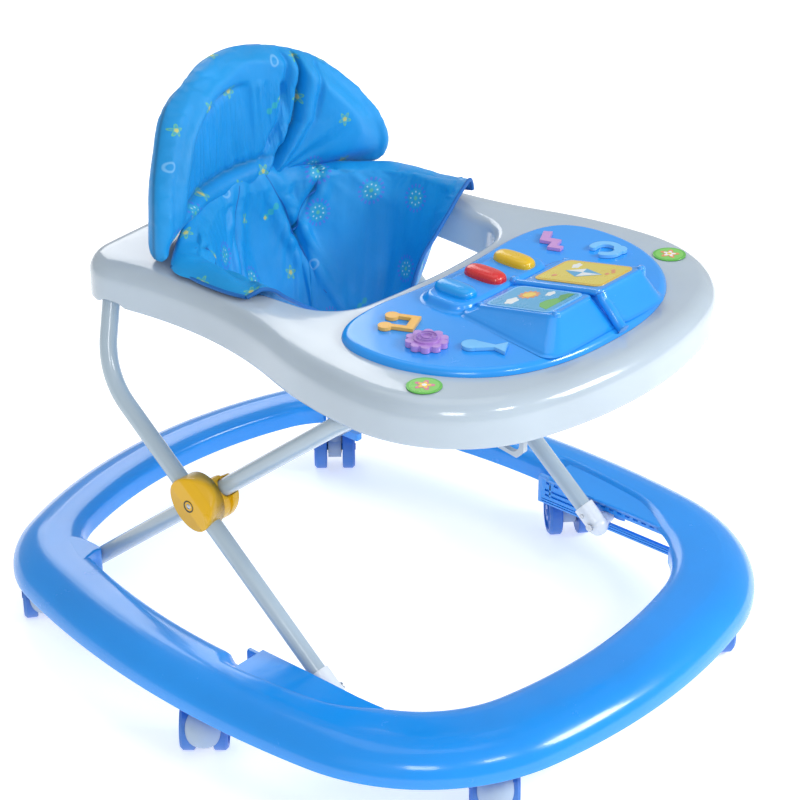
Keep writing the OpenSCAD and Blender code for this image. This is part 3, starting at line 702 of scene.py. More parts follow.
def lobe(name, base, top, drop, flare=0.0, br=10):
    """base and top are (x0, y0, x1, y1); the wall runs from the flared foot to the rounded upper edge"""
    def rr4(b, r, grow=0.0):
        return rrect(b[2] - b[0] + 2 * grow, b[3] - b[1] + 2 * grow, max(r + grow, 0.6), 10, (b[0] + b[2]) / 2, (b[1] + b[3]) / 2)
    rows = []
    def fl(q):
        q = q.copy()
        mid = (base[0] + base[2]) / 2
        q[:, 0] -= flare * np.clip((-150 - q[:, 1]) / 100.0, 0, 1) * np.clip((mid - q[:, 0]) / (mid - base[0]), 0, 1)
        return q
    B, T = fl(rr4(base, br)), rr4(top, 8)
    for g, z in ((4.5, 391.0), (2.6, 391.4), (1.2, 392.3), (0.3, 393.6)):
        rows.append(lifted(fl(rr4(base, br, g)), z))
    tz = np.array([page_z(y) - drop for y in T[:, 1]])
    for t in (0.25, 0.5, 0.75, 0.95):
        q = B * (1 - t) + T * t
        rows.append(np.column_stack([q, 393.6 * (1 - t) + (tz - 2.2) * t]))
    N = normals2(T)
    for k in range(1, 7):
        g = math.pi / 2 * k / 6
        q = T - N * 2.6 * (1 - math.cos(g))
        z = np.array([page_z(y) - drop for y in q[:, 1]])
        rows.append(np.column_stack([q, z - 2.2 + 2.2 * math.sin(g)]))
    n = len(T)
    vs = [tuple(p) for r in rows for p in r]
    fs = loops_faces(len(rows), n)
    fs.append(tuple(range((len(rows) - 1) * n, len(rows) * n)))
    o = weighted(obj_from(name, vs, fs, M_panel, "tray"))
    return o


lobe("book_near", (-56, -258, 14, -149), (-45, -239, 9, -154), 0.0, 15.0)
lobe("book_far", (10, -259, 83, -149), (14, -239, 79, -154), 0.0, 0.0, 17)
# spine and its two posts
yy = np.linspace(-152, -243, 24)
sp = [(11.5, y, page_z(y) + 0.4) for y in yy]
o = sweep("book_spine", sp, 3.0, M_panel, "tray", 20)
o = sweep("book_post_front", catmull([(11.5, -243, page_z(-243) + 1.0), (11, -247, 409), (10.5, -255, 402), (10, -263, 394), (9.6, -269, 390)], 6, False), [4.6] * 24 + [5.4], M_panel, "tray", 24)
o = lathe("book_post_rear", [(0.01, 401), (2.4, 400.6), (4.1, 399.2), (4.7, 397), (4.8, 392), (4.9, 390.9)], M_panel, "tray", lambda p: np.array([12.8 + p[0], -152 + p[1], p[2]]), 32)
for nm, x in (("near", -45), ("far", 79)):
    for fb, y in (("front", -239), ("rear", -155)):
        z = page_z(y)
        o = lathe(f"book_corner_{nm}_{fb}", [(0.01, z + 1.2), (2.2, z + 0.9), (3.6, z - 0.3), (4.2, z - 2.5), (4.6, z - 8)], M_panel, "tray",
                  lambda p, x=x, y=y: np.array([x * 0.93 + p[0] + (3 if x < 0 else 3), y + p[1] + (3 if y < -200 else -3), p[2]]), 28)

# ---------------------------------------------------------------- buttons
for nm, x, mt in (("blue", -37, M_cyan), ("red", 2, M_red), ("yellow", 41, M_yel)):
    out = superellipse(20.4, 39.6, 3.0, 112, x, -128.6)
    rows = []
    for d, z, e in ((0, 394.5, 3.0), (0, 398.9, 3.0), (0.3, 400.7, 3.0), (1.0, 402.3, 2.9), (2.1, 403.4, 2.8), (3.6, 404.15, 2.6), (5.5, 404.6, 2.4), (7.6, 404.85, 2.2), (9.4, 404.95, 2.0)):
        rows.append(lifted(superellipse(20.4 - 2 * d, 39.6 - 2 * d, e, 112, x, -128.6), z))
    vs = [tuple(p) for r in rows for p in r]
    n_ = len(out)
    fs = loops_faces(len(rows), n_)
    vs.append((x, -128.6, 404.98))
    top = (len(rows) - 1) * n_
    fs += [(top + i, top + (i + 1) % n_, len(vs) - 1) for i in range(n_)]
    o = weighted(obj_from("button_cap_" + nm, vs, fs, mt, "button_" + nm))
    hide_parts("button_" + nm)

# ---------------------------------------------------------------- leg tubes
BASE_PIN, RACK_PIN, CROSS, TOP_PIN = np.array([194.5, 68]), np.array([-120.8, 68]), np.array([36.85, 196.4]), np.array([166, 356.0])
SLOPE = (CROSS[1] - BASE_PIN[1]) / (BASE_PIN[0] - CROSS[0])
SLIDE = np.array([CROSS[0] - 170.85, CROSS[1] + 170.85 * SLOPE])
A_BASE = math.atan2(CROSS[1] - BASE_PIN[1], BASE_PIN[0] - CROSS[0])
LD = np.array([math.cos(A_BASE), math.sin(A_BASE)])


def fillet_path(pts, radii, step=3.0):
    """straight runs joined by arcs"""
    pts = [np.asarray(p, float) for p in pts]
    out = [pts[0]]
    for i in range(1, len(pts) - 1):
        u = pts[i] - pts[i - 1]
        u /= np.linalg.norm(u)
        v = pts[i + 1] - pts[i]
        v /= np.linalg.norm(v)
        g = math.acos(max(-1, min(1, u @ v)))
        t = radii[i] * math.tan(g / 2)
        n = v - u * (u @ v)
        n /= np.linalg.norm(n)
        c = pts[i] - u * t + n * radii[i]
        k = max(6, int(radii[i] * g / step))
        for j in range(k + 1):
            a = g * j / k
            out.append(c - n * radii[i] * math.cos(a) + u * radii[i] * math.sin(a))
    out.append(pts[-1])
    fin = [out[0]]
    for p in out[1:]:
        d = np.linalg.norm(p - fin[-1])
        if d < 1e-6:
            continue
        k = max(1, int(d / 14))
        for j in range(1, k + 1):
            fin.append(fin[-1] + (p - fin[-1]) * (1.0 / (k - j + 1)))
    return np.array(fin)


OX, IX = 188.0, 169.0
foot_a = RACK_PIN + LD * 6
c1 = np.array([146, CROSS[1] + (146 - CROSS[0]) * SLOPE])
pa = fillet_path([[OX, *foot_a], [OX, *c1], [156, *TOP_PIN], [-156, *TOP_PIN], [-OX, *c1], [-OX, *foot_a]], [0, 90, 22, 22, 90, 0])
o = sweep("outer_tube", pa, 8.0, M_tube, "outer_legs", 40)
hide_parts("outer_leg_tube")
foot_b = BASE_PIN + np.array([LD[0], -LD[1]]) * 5
pb = fillet_path([[IX, *foot_b], [IX, *SLIDE], [-IX, *SLIDE], [-IX, *foot_b]], [0, 24, 24, 0])
o = sweep("inner_tube", pb, 8.0, M_tube, "inner_legs", 40)
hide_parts("inner_leg_tube")

# ---------------------------------------------------------------- pivot covers where the tubes cross
UPA = np.array([LD[0], LD[1]])
UPB = np.array([-LD[0], LD[1]])


def side_place(s, x0, c, ux, uy):
    """(a, b, h) to the row frame: a and b in the side plane along ux and uy, h outwards from x0"""
    def f(p):
        yz = c + ux * p[0] + uy * p[1]
        return np.array([s * (x0 + p[2]), yz[0], yz[1]])
    return f


def solid_rows(name, rows, mat, body, place, cap0=True, cap1=True):
    n = len(rows[0])
    vs = [tuple(place(np.array(p, float))) for r in rows for p in r]
    fs = loops_faces(len(rows), n)
    if cap1:
        fs.append(tuple(range((len(rows) - 1) * n, len(rows) * n)))
    if cap0:
        fs.append(tuple(range(n - 1, -1, -1)))
    o = obj_from(name, vs, fs, mat, body)
    bm = bmesh.new()
    bm.from_mesh(o.data)
    bmesh.ops.recalc_face_normals(bm, faces=bm.faces)
    bm.to_mesh(o.data)
    bm.free()
    weighted(o)
    return o


def height_disc(name, R, hfun, edge, h0, mat, body, place, nr=26, na=96):
    """disc whose face height varies with (a, b); rounded rim"""
    rows = [[(R * math.cos(2 * math.pi * k / na), R * math.sin(2 * math.pi * k / na), h0) for k in range(na)]]
    for j in range(7):
        g = math.pi / 2 * j / 6
        r = R - edge * (1 - math.cos(g))
        rows.append([(r * math.cos(t), r * math.sin(t), hfun(r * math.cos(t), r * math.sin(t)) - edge + edge * math.sin(g)) for t in [2 * math.pi * k / na for k in range(na)]])
    for j in range(1, nr):
        r = (R - edge) * (1 - j / nr)
        rows.append([(r * math.cos(t), r * math.sin(t), hfun(r * math.cos(t), r * math.sin(t))) for t in [2 * math.pi * k / na for k in range(na)]])
    return solid_rows(name, rows, mat, body, place)


# height of the outer cover's face against the distance across the tube: a leaning half, a flat band and a steep side
TB = np.linspace(-34, 34, 681)
TH = np.where(TB < -4, 19.3 + 0.2 * (TB + 4), np.where(TB < 10.5, 19.3, np.where(TB < 20, 19.3 - 0.42 * (TB - 10.5), 15.31 - 1.15 * (TB - 20))))
KER = np.exp(-(np.linspace(-2, 2, 41) / 0.8) ** 2)
TH = np.convolve(np.pad(TH, 20, "edge"), KER / KER.sum(), "valid")


def cover_face(a, b):
    h = float(np.interp(b, TB, TH))
    w = float(sstep(np.array([math.hypot(a, b)]), 5.6, 7.4)[0])
    return 19.3 * (1 - w) + h * w


M_seat_shade = metal("screw_seat_shade", srgb(92, 92, 84), 0.45)
for s, sn in ((1, "left"), (-1, "right")):
    # outer cover: a drum over the outer tube, its face creased along the tube
    ux, uy = UPA, np.array([-UPA[1], UPA[0]])
    pl = side_place(s, 179.3, CROSS, ux, uy)
    o = height_disc("pivot_outer_" + sn, 25.3, cover_face, 1.7, 0.0, M_amber, "outer_legs", pl, nr=44, na=160)
    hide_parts("pivot_cover_outer_" + sn)
    # rivet sunk in its round seat, and its head on the inner side; the seat is a dark ring of painted shade standing
    # for the shadow in the countersink
    ps = side_place(s, 198.6, CROSS, ux, uy)
    r1 = lathe("pivot_screw_ring_" + sn, [(2.9, -0.9), (3.5, -0.7), (4.5, 0.1), (5.1, 0.55), (5.6, 0.5), (5.8, -1.2)], M_seat_shade, "inner_legs", ps, 48)
    o = lathe("pivot_screw_" + sn, [(0.01, 0.7), (1.2, 0.65), (2.3, 0.3), (3.0, -0.35), (3.05, -2.0)], M_steel, "inner_legs", ps, 32)
    o = lathe("pivot_rivet_" + sn, [(0.01, -45.0), (2.0, -44.8), (4.6, -44.0), (5.8, -42.6), (5.9, -39.8), (3.0, -39.6), (3.0, -2.0), (0.01, -2.0)], M_zinc, "inner_legs", ps, 40)
    if s > 0:
        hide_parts("pivot_bolts")
    # inner cover: a round body on the side of the outer tube and a longer back half that runs on behind the inner tube
    vx, vy = UPB, np.array([-UPB[1], UPB[0]])

    def cover_rows(outline, h0, h1, e):
        q0 = np.array(outline)
        n0 = normals2(q0)
        rows = []
        for k in range(6):
            g = math.pi / 2 * k / 5
            rows.append([(x, y, h0 + e * (1 - math.cos(g))) for x, y in q0 - n0 * e * (1 - math.sin(g))])
        for k in range(6):
            g = math.pi / 2 * k / 5
            rows.append([(x, y, h1 - e * (1 - math.sin(g))) for x, y in q0 - n0 * e * (1 - math.cos(g))])
        return rows

    front, back = [], []
    for k in range(120):
        t = 2 * math.pi * k / 120
        a, b = 23.6 * math.cos(t), 23.6 * math.sin(t)
        up = -11.2 - 2.4 * math.tanh((-b - 11.2) / 8.0)
        front.append((a, b if b > -11.2 else up))
    key = [(-23, 3), (-21.5, -8), (-15, -11.4), (0, -11.6), (12, -11), (22, -10), (27.2, -9), (29, -5), (29, 4), (26.8, 10), (22.8, 15), (15.5, 20), (5.5, 23.2), (-7, 23), (-17, 16.5)]
    back = catmull(key, 8)
    if area2(back) < 0:
        back = back[::-1]
    o1 = solid_rows("pivot_inner_" + sn, cover_rows(front, 5.0, 16.5, 1.6), M_amber, "inner_legs", side_place(s, 162.1, CROSS, vx, vy))
    o2 = solid_rows("pivot_inner_back_" + sn, cover_rows(back, 0.0, 7.6, 1.8), M_amber, "inner_legs", side_place(s, 162.1, CROSS, vx, vy))
    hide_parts("pivot_cover_inner_" + sn)
    # clear bore where the inner tube runs into the body
    for oo, t0 in ((o1, 16.0), (o2, 22.0)):
        path = [np.array([s * IX, *(CROSS + UPB * t)]) for t in (t0, t0 + 8, 60)]
        cut(oo, [sweep("cutter", path, 9.0, None, None, 36)])

# ---------------------------------------------------------------- racks that carry the sliding pins of the outer legs
for s, sn in ((1, "left"), (-1, "right")):
    parts = []
    # hanging plate with its long slot
    x0, x1 = sorted((s * 203.0, s * 207.0))
    pl_ = box_mm("rack_plate_" + sn, (x0, -212.6, 55), (x1, -37.6, 83.2), M_ring_cad, "base")
    slots = [stadium_x("cutter", -207.2, -113.4, 68, 6.3, s * 198, s * 212)]
    # two grooves along the bar, and the row of short marks above the slot
    for z in (57.4, 60.0):
        a, b_ = sorted((s * 202.0, s * 204.2))
        slots.append(box_mm("cutter", (a, -208, z - 0.45), (b_, -42, z + 0.45)))
    for k in range(17):
        a, b_ = sorted((s * 202.0, s * 204.4))
        y = -206 + k * 9.6
        slots.append(box_mm("cutter", (a, y, 77.4), (b_, y + 5.2, 80.2)))
    a, b_ = sorted((s * 202.0, s * 204.6))
    slots.append(box_mm("cutter", (a, -104, 64.2), (b_, -46, 66.4)))
    slots.append(box_mm("cutter", (a, -104, 69.6), (b_, -46, 71.8)))
    cut(pl_, slots)
    pl_.data.polygons.foreach_set("use_smooth", [False] * len(pl_.data.polygons))
    parts.append(pl_)
    # ledge flush with the ring, its inner edge straight
    out = [(s * 199.5, -50), (s * 198.6, -100), (s * 198.4, -160), (s * 197.4, -178), (s * 196.5, -188), (s * 206, -190), (s * 220, -168), (s * 232, -130), (s * 238, -90), (s * 240, -50)]
    q = np.array(out)
    if area2(q) < 0:
        q = q[::-1]
    dense = []
    for a_, b__ in zip(q, np.roll(q, -1, 0)):
        m_ = max(2, int(np.linalg.norm(b__ - a_) / 5))
        dense += [a_ + (b__ - a_) * t / m_ for t in range(m_)]
    led = pillow("rack_ledge_" + sn, dense, 82.8, 86.7, 1.2, M_ring, "base", steps=5)
    # rear end wall of the ledge and the rib that ties it to the plate
    a, b_ = sorted((s * 203.0, s * 219.0))
    w1 = box_mm("rack_end_" + sn, (a, -54, 62), (b_, -50.4, 85.9), M_ring_cad, "base", 1.1)
    a, b_ = sorted((s * 203.1, s * 206.9))
    w2 = box_mm("rack_rib_" + sn, (a, -160, 80.5), (b_, -38, 85.2), M_ring_cad, "base", 0.4)
    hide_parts("rack_" + sn)
    # nose that fills the ring out beside the rear pivot, flush with its top
    nose = [(s * 177.7, 179.4), (s * 177.7, 205.5), (s * 184, 216), (s * 196, 214), (s * 206, 196), (s * 209, 180), (s * 204, 174.5), (s * 196, 176.5), (s * 186, 178.9)]
    q = np.array(nose, float)
    if area2(q) < 0:
        q = q[::-1]
    q = catmull(q, 5)
    nz = pillow("pivot_nose_" + sn, q, 62, 89.1, 1.9, M_ring, "base", steps=6)
    ck = box_mm("pivot_cheek_" + sn, (min(s * 177.6, s * 185.8), 179.4, 52.4), (max(s * 177.6, s * 185.8), 204.6, 66), M_ring_cad, "base", 1.6)
    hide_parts("rear_bracket_" + sn)
    # small tabs under the rim of the opening that carry the sling
HK = [(8, 121.2), (30, 117.4), (90, 112.3), (150, 117.4), (172, 121.2)]
for i, (ad, reach) in enumerate(HK):
    a = math.radians(ad)
    d = np.array([math.cos(a), math.sin(a)])
    t = np.array([-d[1], d[0]])
    r0, r1 = reach - (1.3 if i in (1, 3) else 2.5), reach - 0.4
    v = []
    for rr_, z0_, z1_ in ((r0, 362.5, 371.5), ((r0 + r1) / 2, 361, 373), (r1, 360.4, 374)):
        for w_, z_ in ((-5, z0_), (5, z0_), (5, z1_), (-5, z1_)):
            q = np.array([0, 38.0]) + d * rr_ + t * w_
            v.append((q[0], q[1], z_))
    o = obj_from(f"seat_tab_{i}", v, loops_faces(3, 4) + [(3, 2, 1, 0), (8, 9, 10, 11)], M_white, "tray", smooth=False)
    soften(o, 0.7)
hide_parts("seat_hooks")

# ---------------------------------------------------------------- pictures on the two pages and the two badges: plain generic motifs
M_pic = {k: plastic("ink_" + k, c, 0.3, 0.5, bump=0.05, wear=0.0) for k, c in {
    "white": srgb(236, 240, 240), "orange": srgb(226, 146, 92), "blue": srgb(58, 166, 220), "green": srgb(92, 184, 66),
    "pink": srgb(214, 120, 150), "yellow": srgb(240, 206, 70), "dark": srgb(60, 96, 130), "leaf": srgb(64, 158, 70)}.items()}


def decal(name, pts, mat, zf, lift=0.0):
    p_ = np.asarray(pts, float)
    if area2(p_) < 0:
        p_ = p_[::-1]
    n = len(p_)
    v = [(a, b_, zf(a, b_) + lift) for a, b_ in p_] + [(a, b_, zf(a, b_) + lift + 0.12) for a, b_ in p_]
    f = [tuple(range(n, 2 * n))] + [(i, (i + 1) % n, n + (i + 1) % n, n + i) for i in range(n)]
    o = obj_from(name, v, f, mat, "tray", smooth=False)
    return o


def blob(cx, cy, r, n=28, ex=1.0, rot=0.0, lobes=0, amp=0.0):
    c, s_ = math.cos(rot), math.sin(rot)
    out = []
    for k in range(n):
        a = 2 * math.pi * k / n
        q = r * (1 + amp * math.cos(lobes * a))
        u, w_ = q * ex * math.cos(a), q * math.sin(a)
        out.append((cx + u * c - w_ * s_, cy + u * s_ + w_ * c))
    return out


PG_Z = lambda x, y: 396.0 + (-158 - y) * math.tan(math.radians(11.31)) + 1.72
# near page: a sun over two hills, with small clouds
decal("print_near_frame", rrect(43, 64, 5, 8, -18, -197.3), plastic("page_sky", srgb(52, 168, 222), 0.26, 0.5, wear=0.0), PG_Z)
decal("print_near_hill_a", [(-37, -224), (-33, -214), (-26, -209), (-18, -210), (-11, -216), (-6, -224)], M_pic["green"], PG_Z, 0.13)
decal("print_near_hill_b", [(-17, -224), (-12, -217), (-5, -214), (1, -218), (1.5, -224)], M_pic["leaf"], PG_Z, 0.26)
decal("print_near_sun", blob(-12, -187, 8.6, 72, lobes=12, amp=0.13), M_pic["orange"], PG_Z, 0.13)
decal("print_near_sun_core", blob(-12, -187, 5.6, 36), M_pic["yellow"], PG_Z, 0.26)
decal("print_near_cloud_a", blob(-29, -182, 5.0, 60, 1.5, 0.2, 5, 0.12), M_pic["white"], PG_Z, 0.13)
decal("print_near_cloud_b", blob(-4, -203, 3.4, 60, 1.6, 0.1, 5, 0.12), M_pic["white"], PG_Z, 0.13)
# far page: a kite with a tail, and a cloud
decal("print_far_frame", rrect(45, 66, 5, 8, 49, -197.3), plastic("page_straw", srgb(226, 206, 66), 0.26, 0.5, wear=0.0), PG_Z)
decal("print_far_kite_a", [(38, -196), (49, -178), (58, -194), (49, -216)], M_pic["blue"], PG_Z, 0.13)
decal("print_far_kite_b", [(49, -178.8), (57.2, -194), (49, -196)], M_pic["white"], PG_Z, 0.26)
decal("print_far_kite_c", [(39, -196), (49, -196), (49, -215)], M_pic["white"], PG_Z, 0.26)
for k, (a, b_) in enumerate(((52, -219), (57, -222), (61, -219))):
    decal(f"print_far_tail_{k}", blob(a, b_, 1.9, 20, 1.3, 0.6), M_pic["orange"], PG_Z, 0.13)
decal("print_far_cloud", blob(62, -180, 4.0, 60, 1.5, 0.3, 5, 0.12), M_pic["white"], PG_Z, 0.13)
decal("print_far_dot", blob(36, -176, 2.4, 24), M_pic["orange"], PG_Z, 0.13)
# round badges on the tray: a leaf-green disc with a small flower
TZ = lambda x, y: 384.9
for s, sn in ((1, "far"), (-1, "near")):
    cx, cy = s * 165.0, -203.5
    dsc = pillow("badge_" + sn, blob(cx, cy, 13.6, 64, 1.08, math.radians(-35)), 383.9, 385.0, 0.5, M_pic["green"], "tray", steps=3)
    if s > 0:
        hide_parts("badge_discs")
    ta = decal("badge_leaf_" + sn, blob(cx, cy, 11.6, 64, 1.06, math.radians(-35), 0, 0), plastic("badge_leaf_" + sn, srgb(126, 204, 92), 0.3, 0.4, wear=0.0), TZ, 0.02)
    col = ("pink", "yellow", "white") if s < 0 else ("orange", "white", "yellow")
    decal("badge_petals_" + sn, blob(cx, cy, 6.6, 80, 1.0, 0.4, 5, 0.34), M_pic[col[0]], TZ, 0.15)
    decal("badge_petals_in_" + sn, blob(cx, cy, 4.3, 80, 1.0, 0.4, 5, 0.34), M_pic[col[1]], TZ, 0.28)
    decal("badge_core_" + sn, blob(cx, cy, 2.0, 24), M_pic[col[2]], TZ, 0.41)

# ---------------------------------------------------------------- rounded edges on the moulded pieces that keep their own shape
for nm, wd in (("shape_note", 2.1), ("shape_flower", 1.9), ("shape_fish", 2.1), ("shape_zigzag", 2.1), ("shape_curl", 2.1),
               ("picture_plate_blue", 0.5), ("picture_plate_yellow", 0.5), ("rack_plug_left", 0.8), ("rack_plug_right", 0.8)):
    soften(NODES[nm], wd)
for nm in NODES:
    if nm.startswith("caster_hood"):
        soften(NODES[nm], 1.0)
    if nm.startswith("caster_wheels"):
        soften(NODES[nm], 0.9)
# rings pressed into the flower, drawn as thin raised cords in a darker purple: painted shade of the pressed grooves
for r_, w_ in ((8.2, 0.55), (4.6, 0.5)):
    pts = [(-118 + r_ * math.cos(2 * math.pi * k / 48), -166 + r_ * math.sin(2 * math.pi * k / 48), 398.55) for k in range(49)]
    o = sweep(f"flower_ring_shade_{int(r_)}", pts, w_, plastic(f"flower_ring_shade_{int(r_)}", srgb(146, 104, 196), 0.35, 0.2), "tray", 12, caps=False)

# ---------------------------------------------------------------- printed seat cloth
def fabric(name, col, prints=True, cell=46.0, gloss=0.42):
    """thin glossy nylon: fine weave, puckers, small scattered generic motifs"""
    m = bpy.data.materials.new(name)
    nt, b = nodes_of(m)

    def math_(op, a, c=None, d=None, clamp=False):
        n = new(nt, "ShaderNodeMath", operation=op)
        n.use_clamp = clamp
        for i, v in enumerate((a, c, d)):
            if v is None:
                continue
            if hasattr(v, "links"):
                link(nt, v, n.inputs[i])
            else:
                n.inputs[i].default_value = v
        return n.outputs[0]

    def vmath(op, a, c=None, scale=None):
        n = new(nt, "ShaderNodeVectorMath", operation=op)
        for i, v in enumerate((a, c)):
            if v is None:
                continue
            if hasattr(v, "links"):
                link(nt, v, n.inputs[i])
            else:
                n.inputs[i].default_value = v
        if scale is not None:
            n.inputs["Scale"].default_value = scale
        return n

    fab = new(nt, "ShaderNodeAttribute", attribute_name="fab").outputs["Vector"]
    # the seam mask marks where painted shade goes in grooves and creases
    seam = new(nt, "ShaderNodeAttribute", attribute_name="seam").outputs["Fac"]
    oc = new(nt, "ShaderNodeTexCoord").outputs["Object"]
    big = tex_noise(nt, 14.0, 3.0, 0.55, oc).outputs["Fac"]
    base = mixc(nt, ramp(nt, big, 0.3, 0.7, 0.0, 1.0), tone(col, 0.92), tone(col, 1.08))
    if prints:
        vec = vmath("SCALE", fab, scale=1.0 / cell).outputs[0]
        vo = new(nt, "ShaderNodeTexVoronoi", voronoi_dimensions="2D", feature="F1")
        vo.inputs["Scale"].default_value = 1.0
        vo.inputs["Randomness"].default_value = 0.62
        link(nt, vec, vo.inputs["Vector"])
        loc = vmath("SCALE", vmath("SUBTRACT", vec, vo.outputs["Position"]).outputs[0], scale=cell).outputs[0]
        sep = new(nt, "ShaderNodeSeparateXYZ")
        link(nt, loc, sep.inputs[0])
        x, y = sep.outputs[0], sep.outputs[1]
        rc = new(nt, "ShaderNodeSeparateColor")
        link(nt, vo.outputs["Color"], rc.inputs[0])
        pick, turn, pale = rc.outputs[0], rc.outputs[1], rc.outputs[2]
        r = math_("SQRT", math_("ADD", math_("MULTIPLY", x, x), math_("MULTIPLY", y, y)))
        th = math_("ADD", math_("ARCTAN2", y, x), math_("MULTIPLY", turn, 6.283))

        def below(a, lim, soft=0.5):
            return ramp(nt, a, lim - soft, lim + soft, 1.0, 0.0)

        def band(lo, hi):
            return math_("MULTIPLY", math_("GREATER_THAN", pick, lo), math_("LESS_THAN", pick, hi))

        # five-petal flower with an open middle
        pet = math_("ADD", math_("MULTIPLY", math_("COSINE", math_("MULTIPLY", th, 5.0)), 1.9), 5.0)
        f1 = below(math_("SUBTRACT", r, pet), 0.0)
        ring1 = math_("MULTIPLY", f1, ramp(nt, math_("SUBTRACT", r, pet), -1.7, -1.0, 0.35, 1.0))
        w1 = math_("MULTIPLY", math_("MULTIPLY", band(0.0, 0.42), ring1), 0.8)
        base = mixc(nt, w1, base, srgb(112, 196, 120))
        eye = math_("MULTIPLY", math_("MULTIPLY", band(0.0, 0.42), below(r, 2.1)), 0.8)
        base = mixc(nt, eye, base, srgb(214, 206, 84))
        # round rosette with dots and a dashed ring
        sel = band(0.42, 0.68)
        disc = below(math_("SUBTRACT", r, math_("MULTIPLY", math_("COSINE", math_("MULTIPLY", th, 9.0)), 0.7)), 8.4)
        base = mixc(nt, math_("MULTIPLY", math_("MULTIPLY", sel, disc), 0.72), base, srgb(46, 170, 206))
        rim_ = math_("MULTIPLY", below(math_("ABSOLUTE", math_("SUBTRACT", r, 11.2)), 1.5), ramp(nt, math_("COSINE", math_("MULTIPLY", th, 17.0)), -0.1, 0.4, 0.0, 1.0))
        base = mixc(nt, math_("MULTIPLY", math_("MULTIPLY", sel, rim_), 0.62), base, srgb(96, 104, 218))
        dots = math_("MULTIPLY", below(math_("ABSOLUTE", math_("SUBTRACT", r, 5.6)), 0.8, 0.3), ramp(nt, math_("COSINE", math_("MULTIPLY", th, 8.0)), 0.35, 0.7, 0.0, 1.0))
        base = mixc(nt, math_("MULTIPLY", math_("MULTIPLY", sel, dots), 0.75), base, srgb(190, 228, 236))
        core = below(r, 1.9)
        base = mixc(nt, math_("MULTIPLY", math_("MULTIPLY", sel, core), 0.7), base, srgb(112, 204, 150))
        # sprig: three leaves in a row
        s3 = band(0.68, 0.84)
        cx = math_("ADD", math_("MULTIPLY", x, 0.8), math_("MULTIPLY", y, 0.6))
        cy = math_("SUBTRACT", math_("MULTIPLY", y, 0.8), math_("MULTIPLY", x, 0.6))
        wav = math_("ADD", math_("MULTIPLY", math_("ABSOLUTE", math_("COSINE", math_("MULTIPLY", cx, 0.42))), 2.9), 0.3)
        leaf = math_("MULTIPLY", below(math_("SUBTRACT", math_("ABSOLUTE", cy), wav), 0.0), below(math_("ABSOLUTE", cx), 10.5))
        base = mixc(nt, math_("MULTIPLY", math_("MULTIPLY", s3, leaf), 0.66), base, srgb(52, 184, 176))
        tip = math_("MULTIPLY", below(math_("ABSOLUTE", math_("SUBTRACT", cx, 8.6)), 1.7), below(math_("ABSOLUTE", cy), 1.5))
        base = mixc(nt, math_("MULTIPLY", math_("MULTIPLY", s3, tip), 0.8), base, srgb(206, 198, 82))
        # pale open ring
        s4 = band(0.84, 0.95)
        ri_ = below(math_("ABSOLUTE", math_("SUBTRACT", r, 4.2)), 1.0)
        base = mixc(nt, math_("MULTIPLY", math_("MULTIPLY", s4, ri_), 0.6), base, srgb(126, 190, 236))
    # painted shade: the seam grooves, hems and creases carried in the seam mask are darkened in the base colour
    base = mixc(nt, math_("MULTIPLY", seam, 0.8), base, tone(col, 0.34))
    link(nt, base, b.inputs["Base Color"])
    sx = new(nt, "ShaderNodeTexWave", wave_type="BANDS", bands_direction="X", wave_profile="SIN")
    sx.inputs["Scale"].default_value = 0.42
    sy = new(nt, "ShaderNodeTexWave", wave_type="BANDS", bands_direction="Y", wave_profile="SIN")
    sy.inputs["Scale"].default_value = 0.42
    link(nt, fab, sx.inputs["Vector"])
    link(nt, fab, sy.inputs["Vector"])
    weave = math_("MULTIPLY", sx.outputs["Fac"], sy.outputs["Fac"])
    stretch = vmath("MULTIPLY", fab, (0.22, 0.018, 0.1)).outputs[0]
    pl = tex_noise(nt, 1.0, 3.0, 0.55, stretch).outputs["Fac"]
    gath = new(nt, "ShaderNodeAttribute", attribute_name="gather").outputs["Fac"]
    puck = tex_noise(nt, 95.0, 4.0, 0.6, oc).outputs["Fac"]
    hsum = math_("ADD", math_("MULTIPLY", weave, 0.16), math_("MULTIPLY", puck, 0.55))
    hsum = math_("ADD", hsum, math_("MULTIPLY", math_("MULTIPLY", pl, gath), 3.2))
    bn = new(nt, "ShaderNodeBump")
    bn.inputs["Strength"].default_value = 0.62
    bn.inputs["Distance"].default_value = 0.0011
    link(nt, hsum, bn.inputs["Height"])
    link(nt, bn.outputs[0], b.inputs["Normal"])
    link(nt, ramp(nt, puck, 0.3, 0.7, gloss * 0.85, gloss * 1.2), b.inputs["Roughness"])
    b.inputs["Specular IOR Level"].default_value = 0.42
    b.inputs["Sheen Weight"].default_value = 0.08
    b.inputs["Sheen Roughness"].default_value = 0.4
    b.inputs["Sheen Tint"].default_value = (0.45, 0.75, 1.0, 1.0)
    return m


M_cloth = fabric("seat_cloth", srgb(6, 148, 222))
M_cloth_seat = fabric("sling_cloth", srgb(8, 152, 224), cell=50.0)
M_pipe = fabric("piping_cloth", srgb(10, 104, 186), prints=False)
M_under = fabric("sling_under", srgb(24, 100, 180), prints=False)


# ---------------------------------------------------------------- backrest
BX = [(142, 393), (149, 408), (149, 424), (141, 450), (123, 480), (93, 509), (64, 524), (26, 535), (-12, 538.5), (-48, 534), (-80, 522), (-109, 501), (-130, 470),
      (-143, 442), (-149, 416), (-151, 398), (-149, 389), (-142, 386.5), (-128, 387), (-60, 387), (0, 388), (70, 388), (126, 388)]
dome = catmull(BX, 10)
if area2(dome) < 0:
    dome = dome[::-1]
dn = normals2(dome)


def wrap(x, z, d):
    """d is the depth from the rear face towards the child"""
    R = 233.0 - d
    return (x, -56 + math.sqrt(max(R * R - x * x, 1.0)), z)


